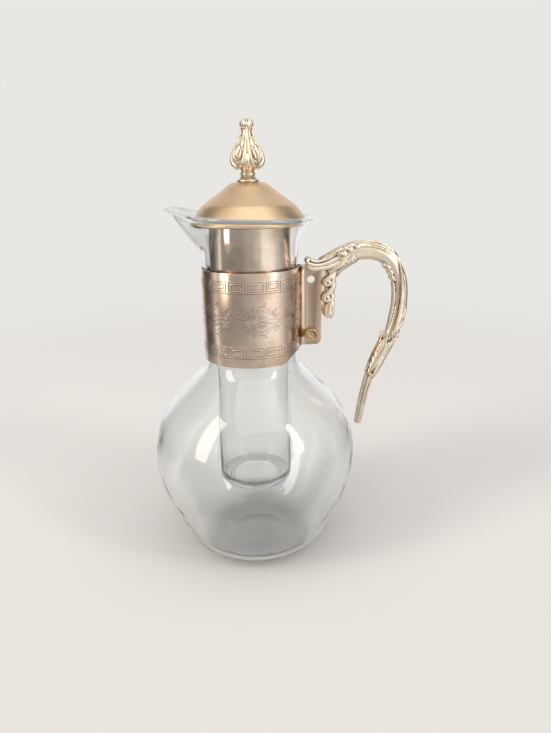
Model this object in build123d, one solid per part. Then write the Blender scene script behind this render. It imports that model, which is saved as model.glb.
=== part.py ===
from build123d import *
from math import acos, cos, degrees, hypot, radians, sin, sqrt, tan
import os

# A glass coffee carafe with a silver-plated neck clamp, a cast scroll handle and a lift-out lid.
# The lid's skirt holds a glass ice tube, which hangs in the middle of the bowl.
# Millimetres. +Z is up, +X is the handle side and -X the spout side.
# The origin is the centre of the flat base that the carafe stands on.

# Glass vessel: bowl, neck and flared mouth
base_radius = 22.5
taper_angle = 24.0
belly_curve_radius = 68.0
bowl_radius = 64.4
bowl_widest_z = 67.5
shoulder_radius = 56.6
shoulder_slope = 45.0
neck_fillet_radius = 12.0
neck_radius = 28.8
neck_height = 65.5
glass_wall = 2.4
floor_thickness = 5.5
flare_radius = 18.0
flare_angle = 62.0
flare_edge_width = 1.7
flare_edge_slope = 0.8

# Mouth's rim, as heights above the start of the flare. It climbs to the spout.
rim_handle_rise = 18.0
rim_middle_rise = 19.3
rim_spout_rise = 25.4
rim_bend_x = 8.0

# Spout: a slanting cone that grows out of the front of the neck
spout_root_drop = 1.3
spout_overhang = 9.95
spout_root_radius = 3.0
spout_top_radius = 9.5

# Neck clamp: split band with two ears, liner, screw and nut
band_height = 55.5
band_thickness = 0.8
band_lift_width = 12.0
band_lift_end = 2.5
liner_thickness = 0.35
liner_clearance = 0.05
liner_inset = 1.5
ear_rise = 6.0
ear_length = 13.0
ear_corner_radius = 3.5
tang_thickness = 3.0
tang_gap = 1.0
clamp_hole_radius = 2.3
clamp_hole_inset = 6.6
upper_hole_drop = 8.7
lower_hole_rise = 6.4
screw_radius = 2.0
screw_head_radius = 4.0
screw_head_height = 2.4
screw_slot_width = 1.1
screw_slot_depth = 0.9
screw_slot_angle = 35.0
nut_across_flats = 7.0
nut_thickness = 3.0
screw_end_past_nut = 1.0

# Handle's scroll column beside the ears, as depths below the band's top edge
column_gap = 0.4
column_width = 7.2
column_depth = 6.6
column_top_drop = 1.0
column_bottom_drop = 31.0
scroll_radius = 3.2
scroll_width = 9.0
scroll_drops = (9.7, 19.4)
leaf_drop = 26.0
leaf_radius = 3.1
leaf_width = 7.6
leaf_length = 18.0

# Handle's hook, as offsets from the column's face and from the band's top edge
leaf_tip = (-8.6, 3.0)
leaf_tip_radius = 2.4
leaf_valley = (-3.2, 2.5)
leaf_crest = (3.0, 7.5)
arch_root = (5.4, -2.4)
arch_shoulder = (14.6, 6.2)
arch_top = (26.6, 8.3)
arch_outer = (40.8, 3.2)
arch_side = (48.2, -17.0)
arch_knee = (45.0, -40.0)

# Handle's tail, as distances outside the bowl's radius and depths below the band's top edge
knot_place = (11.4, -70.0)
tail_middle = (6.0, -86.4)
tail_end = (3.4, -104.5)
root_size = (9.0, 14.5)
shoulder_size = (11.5, 12.6)
top_size = (12.0, 12.8)
side_size = (9.4, 9.4)
calyx_size = 12.8
calyx_foot_size = 8.6
knot_radius = 4.5
tail_size = 5.8
tail_end_size = 4.5
calyx_share = 0.62
knot_share = 0.785

# Lid: dome and skirt. The dome's outline is given as insets from its rim and rises above it.
dome_overhang = 4.2
seat_gap = 0.3
sheet_thickness = 0.8
dome_lip_height = 3.0
dome_shoulder = (3.7, 7.6)
dome_middle = (12.5, 15.0)
dome_crown = (21.0, 21.6)
dome_height = 23.1
seat_radius = 7.4
skirt_gap = 1.6
skirt_wall = 0.6
skirt_length = 42.0
seal_height = 8.0
seal_inset = 2.0
seal_thickness = 0.75

# Finial and its fixing. The finial's outline is given as radii and heights above the dome's flat top.
finial_height = 34.6
cap_radius = 4.1
foot_outline = [(6.6, 0.0), (6.6, 1.4), (4.5, 3.6), (5.2, 4.4), (5.2, 5.4)]
bud_outline = [(4.0, 6.6), (9.3, 10.6), (10.1, 13.4), (8.8, 16.9), (6.4, 20.8), (4.4, 24.8), (3.0, 28.8)]
fixing_radius = 2.0
fixing_clearance = 0.2
fixing_depth = 11.0
fixing_end_gap = 1.0
fixing_head_radius = 3.6
fixing_head_height = 2.4
washer_radius = 5.2
washer_thickness = 0.8

# Ice tube: a glass tube with a closed, ringed bottom
tube_clearance = 0.05
tube_wall = 1.8
tube_grip = 26.0
tube_length = 152.0
tube_floor = 4.0
tube_corner_radius = 6.5
tube_ring_radius = 16.5
tube_ring_width = 3.0
tube_ring_height = 1.2

# Places that follow from the sizes above
belly_end_x = bowl_radius - belly_curve_radius * (1 - cos(radians(taper_angle)))
belly_end_z = bowl_widest_z - belly_curve_radius * sin(radians(taper_angle))
heel_reach = belly_end_x - belly_end_z * tan(radians(taper_angle)) - base_radius
heel_radius = heel_reach / tan(radians(45 - taper_angle / 2))
shoulder_end_x = bowl_radius - shoulder_radius * (1 - cos(radians(shoulder_slope)))
shoulder_end_z = bowl_widest_z + shoulder_radius * sin(radians(shoulder_slope))
neck_corner_z = shoulder_end_z + (shoulder_end_x - neck_radius) / tan(radians(shoulder_slope))
neck_bottom_z = neck_corner_z + neck_fillet_radius * tan(radians(shoulder_slope / 2))
bore_radius = neck_radius - glass_wall
flare_z = neck_bottom_z + neck_height
flare_end_radius = neck_radius + flare_radius * (1 - cos(radians(flare_angle)))
mouth_radius = flare_end_radius + flare_edge_width
spout_reach = mouth_radius + spout_overhang
rim_spout_z = flare_z + rim_spout_rise
mould_top_z = rim_spout_z + 5.0
band_bottom_z = neck_bottom_z
band_top_z = band_bottom_z + band_height
liner_radius = neck_radius + liner_clearance
band_inner_radius = liner_radius + liner_thickness
band_radius = band_inner_radius + band_thickness
ear_bottom_z = band_bottom_z + ear_rise
ear_height = band_top_z - ear_bottom_z
ear_end_x = band_radius + ear_length
ear_inner_y = tang_thickness / 2
ear_outer_y = ear_inner_y + band_thickness
clamp_hole_x = band_radius + clamp_hole_inset
upper_hole_z = band_top_z - upper_hole_drop
lower_hole_z = ear_bottom_z + lower_hole_rise
column_x = ear_end_x + column_gap
dome_radius = neck_radius + dome_overhang
dome_seat_z = flare_z + sqrt((flare_radius + glass_wall + seat_gap) ** 2 - (flare_radius - dome_overhang) ** 2)
dome_top_z = dome_seat_z + dome_height
skirt_radius = bore_radius - skirt_gap
skirt_inner_radius = skirt_radius - skirt_wall
skirt_bottom_z = dome_seat_z - skirt_length
tube_radius = skirt_inner_radius - seal_thickness - tube_clearance
tube_top_z = skirt_bottom_z + tube_grip
tube_bottom_z = tube_top_z - tube_length


def at(r, z):
    """A point of an outline in the XZ plane."""
    return (r, 0, z)


def chain(*points):
    """Straight edges from point to point."""
    return [Line(a, b) for a, b in zip(points, points[1:])]


def turned(*edges):
    """A solid of revolution about Z from a closed outline of edges in the XZ plane."""
    return revolve(Face(Wire(edges)), Axis.Z)


def ring(inner, outer, bottom, top):
    """A plain ring about Z."""
    corners = [at(inner, bottom), at(outer, bottom), at(outer, top), at(inner, top)]
    return revolve(Face(Wire.make_polygon(corners, close=True)), Axis.Z)


def arc(centre, radius, start, end):
    """An arc in the XZ plane. Its angles go from +X towards +Z."""
    angles = [radians(a) for a in (start, (start + end) / 2, end)]
    return ThreePointArc(*[at(centre[0] + radius * cos(a), centre[1] + radius * sin(a)) for a in angles])


def vessel_body(wall, floor_z):
    """The solid inside one skin of the vessel: heel, belly, shoulder, straight neck and flared mouth."""
    heel_start = degrees(acos((heel_radius - floor_z) / (heel_radius - wall))) - 90
    heel = arc((base_radius, heel_radius), heel_radius - wall, heel_start, -taper_angle)
    belly = arc((bowl_radius - belly_curve_radius, bowl_widest_z), belly_curve_radius - wall, -taper_angle, 0)
    shoulder = arc((bowl_radius - shoulder_radius, bowl_widest_z), shoulder_radius - wall, 0, shoulder_slope)
    fillet_centre = (neck_radius + neck_fillet_radius, neck_bottom_z)
    neck_fillet = arc(fillet_centre, neck_fillet_radius + wall, 180 + shoulder_slope, 180)
    flare = arc((neck_radius + flare_radius, flare_z), flare_radius + wall, 180, 180 - flare_angle)
    edge_r = mouth_radius - wall
    edge_z = (flare @ 1).Z + flare_edge_slope * (edge_r - (flare @ 1).X)
    return turned(
        Line(at(0, floor_z), heel @ 0),
        heel,
        Line(heel @ 1, belly @ 0),
        belly,
        shoulder,
        Line(shoulder @ 1, neck_fillet @ 0),
        neck_fillet,
        Line(neck_fillet @ 1, flare @ 0),
        flare,
        *chain(flare @ 1, at(edge_r, edge_z), at(edge_r, mould_top_z), at(0, mould_top_z), at(0, floor_z)),
    )


def spout_body(wall):
    """A slanting cone for one skin of the spout. Its front line leaves the neck and reaches the tip."""
    root_z = flare_z - spout_root_drop
    lean = (spout_reach - neck_radius) / (rim_spout_z - root_z)
    inset = wall * hypot(1, lean)
    root_x = neck_radius - inset
    top_x = neck_radius + lean * (mould_top_z - root_z) - inset
    root_r = spout_root_radius - wall * 0.8
    top_r = spout_top_radius - wall
    low = Pos(root_r - root_x, 0, root_z) * Circle(root_r)
    high = Pos(top_r - top_x, 0, mould_top_z) * Circle(top_r)
    return loft([low, high])


def above_rim():
    """Everything above the mouth's rim: level on the handle side, then a sweep up to the spout."""
    far = 2 * mouth_radius
    top = mould_top_z + far
    handle_side = at(far, flare_z + rim_handle_rise)
    bend = at(-rim_bend_x, flare_z + rim_middle_rise)
    tip = at(-spout_reach, rim_spout_z)
    level = Line(handle_side, bend)
    climb = TangentArc(bend, tip, tangent=level % 1)
    outline = [level, climb, *chain(tip, at(-far, rim_spout_z), at(-far, top), at(far, top), handle_side)]
    return extrude(Face(Wire(outline)), amount=far, both=True)


def carafe_glass():
    """One blown vessel: bowl, neck, flared mouth and spout."""
    outside = vessel_body(0, 0) + spout_body(0)
    inside = vessel_body(glass_wall, floor_thickness) + spout_body(glass_wall)
    return outside - inside - above_rim()


def split_ring(inner, outer, bottom, top):
    """A ring about the neck that is open on the handle side by the tang's thickness."""
    opening = Pos(outer, 0, (bottom + top) / 2) * Box(outer, tang_thickness, 2 * (top - bottom))
    return ring(inner, outer, bottom, top) - opening


def band_lift():
    """The wedge under the band's lower edge, which slants up to the ears."""
    start_x = band_radius - band_lift_width
    end_x = band_radius - band_lift_end
    far_x = 2 * ear_end_x
    low = band_bottom_z - ear_rise
    corners = [at(start_x, band_bottom_z), at(end_x, ear_bottom_z), at(far_x, ear_bottom_z), at(far_x, low),
               at(start_x, low)]
    return extrude(Face(Wire.make_polygon(corners, close=True)), amount=2 * band_radius, both=True)


def clamp_holes():
    """The two screw holes through the ears and the tang."""
    drill = Rot(90, 0, 0) * Cylinder(clamp_hole_radius, 2 * ear_length)
    return [Pos(clamp_hole_x, 0, z) * drill for z in (upper_hole_z, lower_hole_z)]


def ear(side):
    """One flat ear, bent out of the band's end. The side is -1 in front and 1 behind."""
    start_x = sqrt(band_inner_radius**2 - ear_outer_y**2)
    middle = ((start_x + ear_end_x) / 2, side * (ear_inner_y + ear_outer_y) / 2, ear_bottom_z + ear_height / 2)
    plate = Pos(*middle) * Box(ear_end_x - start_x, band_thickness, ear_height)
    outer_corners = plate.edges().filter_by(Axis.Y).sort_by(Axis.X)[-2:]
    return fillet(outer_corners.sort_by(Axis.Z)[0], ear_corner_radius)


def neck_band():
    """The split band with its two ears, in one piece."""
    bore = Pos(0, 0, band_bottom_z + band_height / 2) * Cylinder(band_inner_radius, 2 * band_height)
    strip = split_ring(band_inner_radius, band_radius, band_bottom_z, band_top_z) - band_lift()
    return strip + (ear(-1) + ear(1) - bore) - clamp_holes()


def band_liner():
    """A thin strip that keeps the metal off the glass."""
    return split_ring(liner_radius, band_inner_radius, ear_bottom_z + liner_inset, band_top_z - liner_inset)


def clamp_screw():
    """The slotted screw in the lower hole, with its head in front."""
    front = -ear_outer_y
    back = ear_outer_y + nut_thickness + screw_end_past_nut
    across = Rot(90, 0, 0)
    head = Pos(0, front - screw_head_height / 2, 0) * across * Cylinder(screw_head_radius, screw_head_height)
    head = fillet(head.edges().group_by(Axis.Y)[0], screw_head_height * 0.45)
    shank = Pos(0, (front + back) / 2, 0) * across * Cylinder(screw_radius, back - front)
    slot_y = front - screw_head_height + screw_slot_depth / 2
    slot = Box(3 * screw_head_radius, screw_slot_depth, screw_slot_width)
    slot = Pos(0, slot_y, 0) * Rot(0, screw_slot_angle, 0) * slot
    return Pos(clamp_hole_x, 0, lower_hole_z) * (head + shank - slot)


def clamp_nut():
    """The hexagon nut behind the rear ear."""
    nut = extrude(RegularPolygon(nut_across_flats / 2, 6, major_radius=False), nut_thickness)
    nut -= Cylinder(screw_radius, 4 * nut_thickness)
    return Pos(clamp_hole_x, ear_outer_y + nut_thickness, lower_hole_z) * Rot(90, 0, 0) * nut


def by_column(place):
    """A point given from the column's face and the band's top edge."""
    return at(column_x + place[0], band_top_z + place[1])


def by_bowl(place):
    """A point given from the bowl's radius and the band's top edge."""
    return at(bowl_radius + place[0], band_top_z + place[1])


def handle_path():
    """The hook's centre line, from the scroll column over the arch to the free tail."""
    hook = [by_column(p) for p in (arch_root, arch_shoulder, arch_top, arch_outer, arch_side, arch_knee)]
    tail = [by_bowl(p) for p in (knot_place, tail_middle, tail_end)]
    return Spline(hook + tail)


def sections(path, stations):
    """A solid through ellipses square to the path, given as (share, width, thickness)."""
    rings = []
    for share, width, thickness in stations:
        plane = Plane(origin=path @ share, x_dir=(0, 1, 0), z_dir=path % share)
        rings.append(plane * Ellipse(width / 2, thickness / 2))
    return loft(rings)


def hook_and_tail():
    """The tapering hook, the leaf cup that clasps it, the knot and the thin tail."""
    path = handle_path()
    hook = sections(path, [
        (0.0, *root_size), (0.09, *shoulder_size), (0.18, *top_size), (0.38, *side_size), (0.5, *side_size),
        (calyx_share, *side_size),
    ])
    calyx = sections(path, [
        (calyx_share, calyx_size, calyx_size),
        ((calyx_share + knot_share) / 2, (calyx_size + calyx_foot_size) / 2, (calyx_size + calyx_foot_size) / 2),
        (knot_share, calyx_foot_size, calyx_foot_size),
    ])
    tail = sections(path, [
        (knot_share, tail_size, tail_size), (0.9, tail_size, tail_size), (1.0, tail_end_size, tail_end_size)])
    knot = Pos(*(path @ knot_share)) * Sphere(knot_radius)
    return hook + calyx + knot + tail


def scroll(place, radius, width):
    """A volute: a short roll across the handle with rounded ends."""
    roll = Pos(*place) * Rot(90, 0, 0) * Cylinder(radius, width)
    return fillet(roll.edges().filter_by(GeomType.CIRCLE), radius * 0.3)


def scroll_column():
    """The cast foot of the handle, with two volutes and a hanging leaf."""
    height = column_bottom_drop - column_top_drop
    middle = by_column((column_depth / 2 + 0.8, -column_top_drop - height / 2))
    column = Pos(*middle) * Box(column_depth, column_width, height)
    column = fillet(column.edges().filter_by(Axis.Z), column_depth * 0.25)
    for drop in scroll_drops:
        column += scroll(by_column((scroll_radius, -drop)), scroll_radius, scroll_width)
    leaf = scale(Sphere(1), (leaf_radius, leaf_width / 2, leaf_length / 2))
    return column + Pos(*by_column((leaf_radius + 1.0, -leaf_drop))) * leaf


def hook_leaf():
    """The leaf that reaches back over the ears and curls up at its end."""
    tip = scroll(by_column(leaf_tip), leaf_tip_radius, scroll_width * 0.8)
    low = leaf_tip[1] - leaf_tip_radius
    outline = [(leaf_tip[0], low), (0, low), (arch_root[0], arch_root[1]), leaf_crest, leaf_valley, leaf_tip]
    corners = [by_column(p) for p in outline]
    tongue = extrude(Face(Wire.make_polygon(corners, close=True)), amount=column_width / 2, both=True)
    return tip + tongue


def tang():
    """The flat plate between the ears, with the two screw holes. It joins the column at its top."""
    start_x = band_radius + tang_gap
    end_x = column_x + column_depth / 2
    joined = column_bottom_drop - 1.0
    plate = Pos((start_x + ear_end_x) / 2, 0, ear_bottom_z + ear_height / 2)
    plate *= Box(ear_end_x - start_x, tang_thickness, ear_height)
    bridge = Pos((ear_end_x + end_x) / 2, 0, band_top_z - joined / 2)
    bridge *= Box(end_x - ear_end_x, tang_thickness, joined)
    return plate + bridge - clamp_holes()


def handle():
    """The cast handle: tang, scroll column, leaf and hook in one piece."""
    return scroll_column() + hook_leaf() + hook_and_tail() + tang()


def dome_body(thickness):
    """The solid below one skin of the dome."""

    def skin_point(place):
        return at(dome_radius - place[0] - 0.6 * thickness, dome_seat_z + place[1] - thickness)

    top = dome_top_z - thickness
    lip_r = dome_radius - thickness
    skin = Spline(
        [at(seat_radius, top), skin_point(dome_crown), skin_point(dome_middle), skin_point(dome_shoulder),
         at(lip_r, dome_seat_z + dome_lip_height - thickness)],
        tangents=[(1, 0, 0), (0.35, 0, -1)])
    return turned(
        Line(at(0, top), skin @ 0),
        skin,
        *chain(skin @ 1, at(lip_r, dome_seat_z), at(0, dome_seat_z), at(0, top)),
    )


def fixing_hole():
    """The clearance hole for the finial's screw."""
    return Pos(0, 0, dome_top_z) * Cylinder(fixing_radius + fixing_clearance, dome_height)


def lid_dome():
    """The spun cap, with a hole for the finial's screw."""
    return dome_body(0) - dome_body(sheet_thickness) - fixing_hole()


def lid_skirt():
    """The sleeve below the dome. Its top edge follows the dome's underside."""
    upper = ring(skirt_inner_radius, skirt_radius, dome_seat_z, dome_top_z) & dome_body(sheet_thickness)
    return upper + ring(skirt_inner_radius, skirt_radius, skirt_bottom_z, dome_seat_z)


def tube_seal():
    """The ring in the skirt that grips the ice tube."""
    bottom = skirt_bottom_z + seal_inset
    return ring(skirt_inner_radius - seal_thickness, skirt_inner_radius, bottom, bottom + seal_height)


def finial():
    """The cast bud on its stepped foot, with a blind hole for the screw."""

    def up(r, height):
        return at(r, dome_top_z + height)

    foot = [up(r, height) for r, height in foot_outline]
    bud = Spline([up(r, height) for r, height in bud_outline])
    cap = arc((0, dome_top_z + finial_height - cap_radius), cap_radius, 0, 90)
    body = turned(*chain(up(0, 0), *foot, bud @ 0), bud, Line(bud @ 1, cap @ 0), cap, Line(cap @ 1, up(0, 0)))
    return body - Pos(0, 0, dome_top_z + fixing_depth / 2) * Cylinder(fixing_radius, fixing_depth)


def finial_washer():
    """The washer under the dome's flat top."""
    top = dome_top_z - sheet_thickness
    return ring(fixing_radius + fixing_clearance, washer_radius, top - washer_thickness, top)


def finial_screw():
    """The screw that holds the finial down from inside the dome."""
    head_top = dome_top_z - sheet_thickness - washer_thickness
    shank_top = dome_top_z + fixing_depth - fixing_end_gap
    head = Pos(0, 0, head_top - fixing_head_height / 2) * Cylinder(fixing_head_radius, fixing_head_height)
    head = fillet(head.edges().group_by(Axis.Z)[0], fixing_head_height * 0.4)
    shank = Pos(0, 0, (head_top + shank_top) / 2) * Cylinder(fixing_radius, shank_top - head_top)
    slot = Box(3 * fixing_head_radius, screw_slot_width, 2 * screw_slot_depth)
    return head + shank - Pos(0, 0, head_top - fixing_head_height) * slot


def tube_body(radius, bottom_z, corner):
    """The solid inside one skin of the ice tube."""
    height = tube_top_z - bottom_z
    body = Pos(0, 0, bottom_z + height / 2) * Cylinder(radius, height)
    return fillet(body.edges().group_by(Axis.Z)[0], corner)


def ice_tube():
    """The glass tube with its closed bottom and bearing ring."""
    floor_z = tube_bottom_z + tube_ring_height
    outside = tube_body(tube_radius, floor_z, tube_corner_radius)
    inside = tube_body(tube_radius - tube_wall, floor_z + tube_floor, tube_corner_radius - tube_wall)
    half_width = tube_ring_width / 2
    foot = ring(tube_ring_radius - half_width, tube_ring_radius + half_width, tube_bottom_z, floor_z + tube_floor / 2)
    foot = fillet(foot.edges().group_by(Axis.Z)[0], tube_ring_height * 0.45)
    tube = outside - inside + foot
    return fillet(tube.edges().group_by(Axis.Z)[-1], tube_wall * 0.4)


os.makedirs("parts", exist_ok=True)
pieces = {
    "carafe_glass": carafe_glass(),
    "neck_band": neck_band(),
    "band_liner": band_liner(),
    "clamp_screw": clamp_screw(),
    "clamp_nut": clamp_nut(),
    "handle": handle(),
    "lid_dome": lid_dome(),
    "lid_skirt": lid_skirt(),
    "tube_seal": tube_seal(),
    "finial": finial(),
    "finial_washer": finial_washer(),
    "finial_screw": finial_screw(),
    "ice_tube": ice_tube(),
}
for name, shape in pieces.items():
    export_step(shape, f"parts/{name}.step")
    print(name, "solids", len(shape.solids()), "volume", round(shape.volume, 1))
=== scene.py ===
# %% [markdown]
# # A glass coffee carafe with a silver-plated clamp and a cast scroll handle
# The CAD model gives every size and stays in charge of them. This notebook puts finer pieces in the same
# places: blown glass with a rounded rim, an engraved band, a cast handle with leaves, a cast bud and a
# spun lid. Then it gives each one its finish. Each piece is modelled at the origin, in metres, in the
# CAD model's own frame: Z is up, +X is the handle side and -X is the spout side.

# %% Load the frame and bake its parts' placements into their meshes
from math import acos, atan2, cos, hypot, pi, radians, sin, sqrt

import bpy
import numpy as np
from mathutils import Matrix, Vector


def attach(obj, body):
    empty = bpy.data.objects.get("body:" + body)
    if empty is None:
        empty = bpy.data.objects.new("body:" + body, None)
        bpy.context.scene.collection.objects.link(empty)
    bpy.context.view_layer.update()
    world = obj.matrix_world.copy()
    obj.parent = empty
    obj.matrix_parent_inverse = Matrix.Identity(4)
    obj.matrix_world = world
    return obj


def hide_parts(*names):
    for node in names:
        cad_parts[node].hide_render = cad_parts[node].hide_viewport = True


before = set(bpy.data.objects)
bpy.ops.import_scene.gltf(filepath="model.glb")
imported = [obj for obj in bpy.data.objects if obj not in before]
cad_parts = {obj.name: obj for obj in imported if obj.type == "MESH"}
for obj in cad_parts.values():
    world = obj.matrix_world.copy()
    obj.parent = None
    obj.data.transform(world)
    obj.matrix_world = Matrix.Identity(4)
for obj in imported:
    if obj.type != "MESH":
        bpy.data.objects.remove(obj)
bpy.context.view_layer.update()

# %% [markdown]
# ## Small helpers
# Blender's operators act on whatever is selected, so a helper selects one object alone, or nothing, before
# each of them. Sizes are written in millimetres, as on a drawing, and turned to metres once.

# %% Select one object, and open or close its mesh
MM = 0.001
print("a millimetre is", MM, "m")


def only(obj):
    """Selects one object alone and makes it the active one."""
    bpy.ops.object.select_all(action="DESELECT")
    obj.select_set(True)
    bpy.context.view_layer.objects.active = obj
    return obj


def edit(obj):
    """Opens one object in edit mode with all of its mesh selected."""
    only(obj)
    bpy.ops.object.mode_set(mode="EDIT")
    bpy.context.tool_settings.mesh_select_mode = (True, False, False)
    bpy.ops.mesh.select_all(action="SELECT")


def leave_edit():
    """Goes back to object mode and returns the object."""
    bpy.ops.object.mode_set(mode="OBJECT")
    return bpy.context.active_object


def face_outwards(obj):
    """Points all faces of a closed mesh outwards."""
    edit(obj)
    bpy.ops.mesh.normals_make_consistent(inside=False)
    return leave_edit()


# %% Add an object, finish it with a modifier, and join it to others
def add(operator, name, **settings):
    """Adds an object while nothing else is selected, and gives it and its data a name."""
    bpy.ops.object.select_all(action="DESELECT")
    operator(**settings)
    obj = bpy.context.active_object
    obj.name = obj.data.name = name
    return obj


def apply_modifier(obj, kind, **settings):
    """Adds one modifier with its settings and applies it."""
    only(obj)
    modifier = obj.modifiers.new(kind.lower(), kind)
    for name, value in settings.items():
        setattr(modifier, name, value)
    bpy.ops.object.modifier_apply(modifier=modifier.name)


def join(pieces, name):
    """Joins objects into the first of them."""
    only(pieces[0])
    for piece in pieces:
        piece.select_set(True)
    bpy.ops.object.join()
    pieces[0].name = pieces[0].data.name = name
    print(name, "was joined from", len(pieces), "pieces")
    return pieces[0]


# %% [markdown]
# ## Colours and nodes
# Every colour is picked on screen as an sRGB hex code, and a shader wants linear light, so one function
# turns one into the other. One more adds a node with its settings and its links. Nodes are added in the
# order that the pattern flows: coordinates first, then noise, then the shader.

# %% One function for colours and one for nodes
def colour(code):
    """An sRGB hex colour as the linear RGBA that shaders take."""
    parts = [int(code[i : i + 2], 16) / 255 for i in (1, 3, 5)]
    return (*[p / 12.92 if p <= 0.04045 else ((p + 0.055) / 1.055) ** 2.4 for p in parts], 1.0)


def add_node(tree, kind, inputs=None, **settings):
    """Adds a node. An input is a value, or a link written as (node, output)."""
    node = tree.nodes.new("ShaderNode" + kind)
    for name, value in settings.items():
        setattr(node, name, value)
    for name, value in (inputs or {}).items():
        if isinstance(value, tuple) and isinstance(value[0], bpy.types.Node):
            tree.links.new(value[0].outputs[value[1]], node.inputs[name])
        else:
            node.inputs[name].default_value = value
    return node


def empty_material(name):
    """A material whose node tree is still empty."""
    material = bpy.data.materials.new(name)
    material.use_nodes = True
    material.node_tree.nodes.clear()
    return material, material.node_tree


# Sockets of the Mix node, which has a set of them for each kind of data
MIX_FACTOR, MIX_A, MIX_B, MIX_COLOUR = 0, 6, 7, 2
print("a grey of #808080 is", round(colour("#808080")[0], 3), "in linear light")

# %% [markdown]
# ## Blown soda-lime glass
# The vessel and the ice tube are clear blown glass. Real blown glass isn't quite even: its walls carry
# faint waves some 15 mm long that bend what is seen through them, and handling leaves a thin haze. So
# the glass shader gets a low, slow bump and a little roughness that varies, and no colour to speak of.
# The rim is another matter: it was cut and then melted round, and the light runs along it as a pale line.
# A clear shader turns so thin a bead dark, so the rim gets a painted highlight: a pale, partly see-through
# skin that covers less than half of what is behind it. The teeth pressed into the tube's foot keep the
# mould's matt skin.

# %% Make the glass
GLASS_IOR = 1.52


def blown_glass(name, tint, wave_size, wave_height, clear=1.0, frost=0.05, cover=1.0, gleam=0.0):
    """Glass with slow waves, sized in millimetres.

    Clear is the share of light that passes, frost the greatest roughness, cover how much the skin hides of
    what is behind it, and gleam how much of it mirrors like metal.
    """
    material, tree = empty_material(name)
    place = add_node(tree, "TexCoord")
    waves = add_node(tree, "TexNoise", {"Vector": (place, "Object"), "Scale": 1 / (wave_size * MM),
                                        "Detail": 1.0})
    haze = add_node(tree, "TexNoise", {"Vector": (place, "Object"), "Scale": 45.0, "Detail": 3.0})
    rough = add_node(tree, "MapRange", {"Value": (haze, "Fac"), "From Min": 0.45, "From Max": 0.8,
                                        "To Min": 0.6 * frost, "To Max": frost})
    bump = add_node(tree, "Bump", {"Height": (waves, "Fac"), "Strength": 1.0, "Distance": wave_height * MM})
    shader = add_node(tree, "BsdfPrincipled", {"Base Color": colour(tint), "IOR": GLASS_IOR, "Alpha": cover,
                                               "Transmission Weight": clear, "Metallic": gleam,
                                               "Roughness": (rough, "Result"), "Normal": (bump, "Normal")})
    add_node(tree, "OutputMaterial", {"Surface": (shader, "BSDF")})
    return material


vessel_glass = blown_glass("blown_soda_lime_glass", "#FCFDFD", 14.0, 0.12, frost=0.02)
tube_glass = blown_glass("drawn_tube_glass", "#FCFDFD", 22.0, 0.05, frost=0.02)
# The rim's pale skin is a painted highlight for the light that runs along the bead.
rim_highlight_skin = blown_glass("rim_painted_highlight", "#FFFFFF", 6.0, 0.05, clear=0.0, frost=0.15, cover=0.42, gleam=0.3)
moulded_glass = blown_glass("matt_moulded_glass", "#FFFFFF", 6.0, 0.02, clear=0.45, frost=0.25, cover=0.8)
print("glass:", vessel_glass.name, tube_glass.name, rim_highlight_skin.name, moulded_glass.name)

# %% [markdown]
# ## Silver plate on brass
# The band and the sleeve are silver-plated brass sheet, polished round and round on a wheel, so their
# finest scratches run around the neck. The plate has tarnished to a pinkish beige that is uneven from
# place to place. The flat ears get a darker tone, which is painted shade: they mirror less light than
# the round band. The scratches are really some 0.05 mm apart. They are drawn 0.3 mm apart, because finer
# ones would not show.

# %% Make the silver plate
EARS_START = 31


def silver_plate(name, bright, tarnished, smooth, dull, ears=None):
    """Polished plate with scratches around Z and patches of tarnish. Ears is painted shade: a darker tone for
    the sheet ears.
    """
    material, tree = empty_material(name)
    place = add_node(tree, "TexCoord")
    around = add_node(tree, "Mapping", {"Vector": (place, "Object"), "Scale": (60.0, 60.0, 3300.0)})
    scratches = add_node(tree, "TexNoise", {"Vector": (around, "Vector"), "Scale": 1.0, "Detail": 3.0})
    patches = add_node(tree, "TexNoise", {"Vector": (place, "Object"), "Scale": 55.0, "Detail": 4.0,
                                          "Roughness": 0.6})
    amount = add_node(tree, "MapRange", {"Value": (patches, "Fac"), "From Min": 0.38, "From Max": 0.66})
    tint = add_node(tree, "Mix", {MIX_FACTOR: (amount, "Result"), MIX_A: colour(bright),
                                  MIX_B: colour(tarnished)}, data_type="RGBA")
    # Painted shade: the flat ears, which mirror less light than the round band, get a darker tone.
    if ears:
        parts = add_node(tree, "SeparateXYZ", {"Vector": (place, "Object")})
        outwards = add_node(tree, "MapRange", {"Value": (parts, "X"), "From Min": EARS_START * MM,
                                               "From Max": (EARS_START + 3) * MM})
        tint = add_node(tree, "Mix", {MIX_FACTOR: (outwards, "Result"), MIX_A: (tint, MIX_COLOUR),
                                      MIX_B: colour(ears)}, data_type="RGBA")
    rough = add_node(tree, "MapRange", {"Value": (patches, "Fac"), "From Min": 0.35, "From Max": 0.7,
                                        "To Min": smooth, "To Max": dull})
    dents = add_node(tree, "TexNoise", {"Vector": (place, "Object"), "Scale": 90.0, "Detail": 1.0})
    soft = add_node(tree, "Bump", {"Height": (dents, "Fac"), "Strength": 1.0, "Distance": 0.06 * MM})
    bump = add_node(tree, "Bump", {"Height": (scratches, "Fac"), "Strength": 0.5, "Distance": 0.004 * MM,
                                   "Normal": (soft, "Normal")})
    shader = add_node(tree, "BsdfPrincipled", {"Base Color": (tint, MIX_COLOUR), "Metallic": 1.0,
                                               "Roughness": (rough, "Result"), "Normal": (bump, "Normal")})
    add_node(tree, "OutputMaterial", {"Surface": (shader, "BSDF")})
    return material


# The band's ears tone is painted shade.
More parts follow.
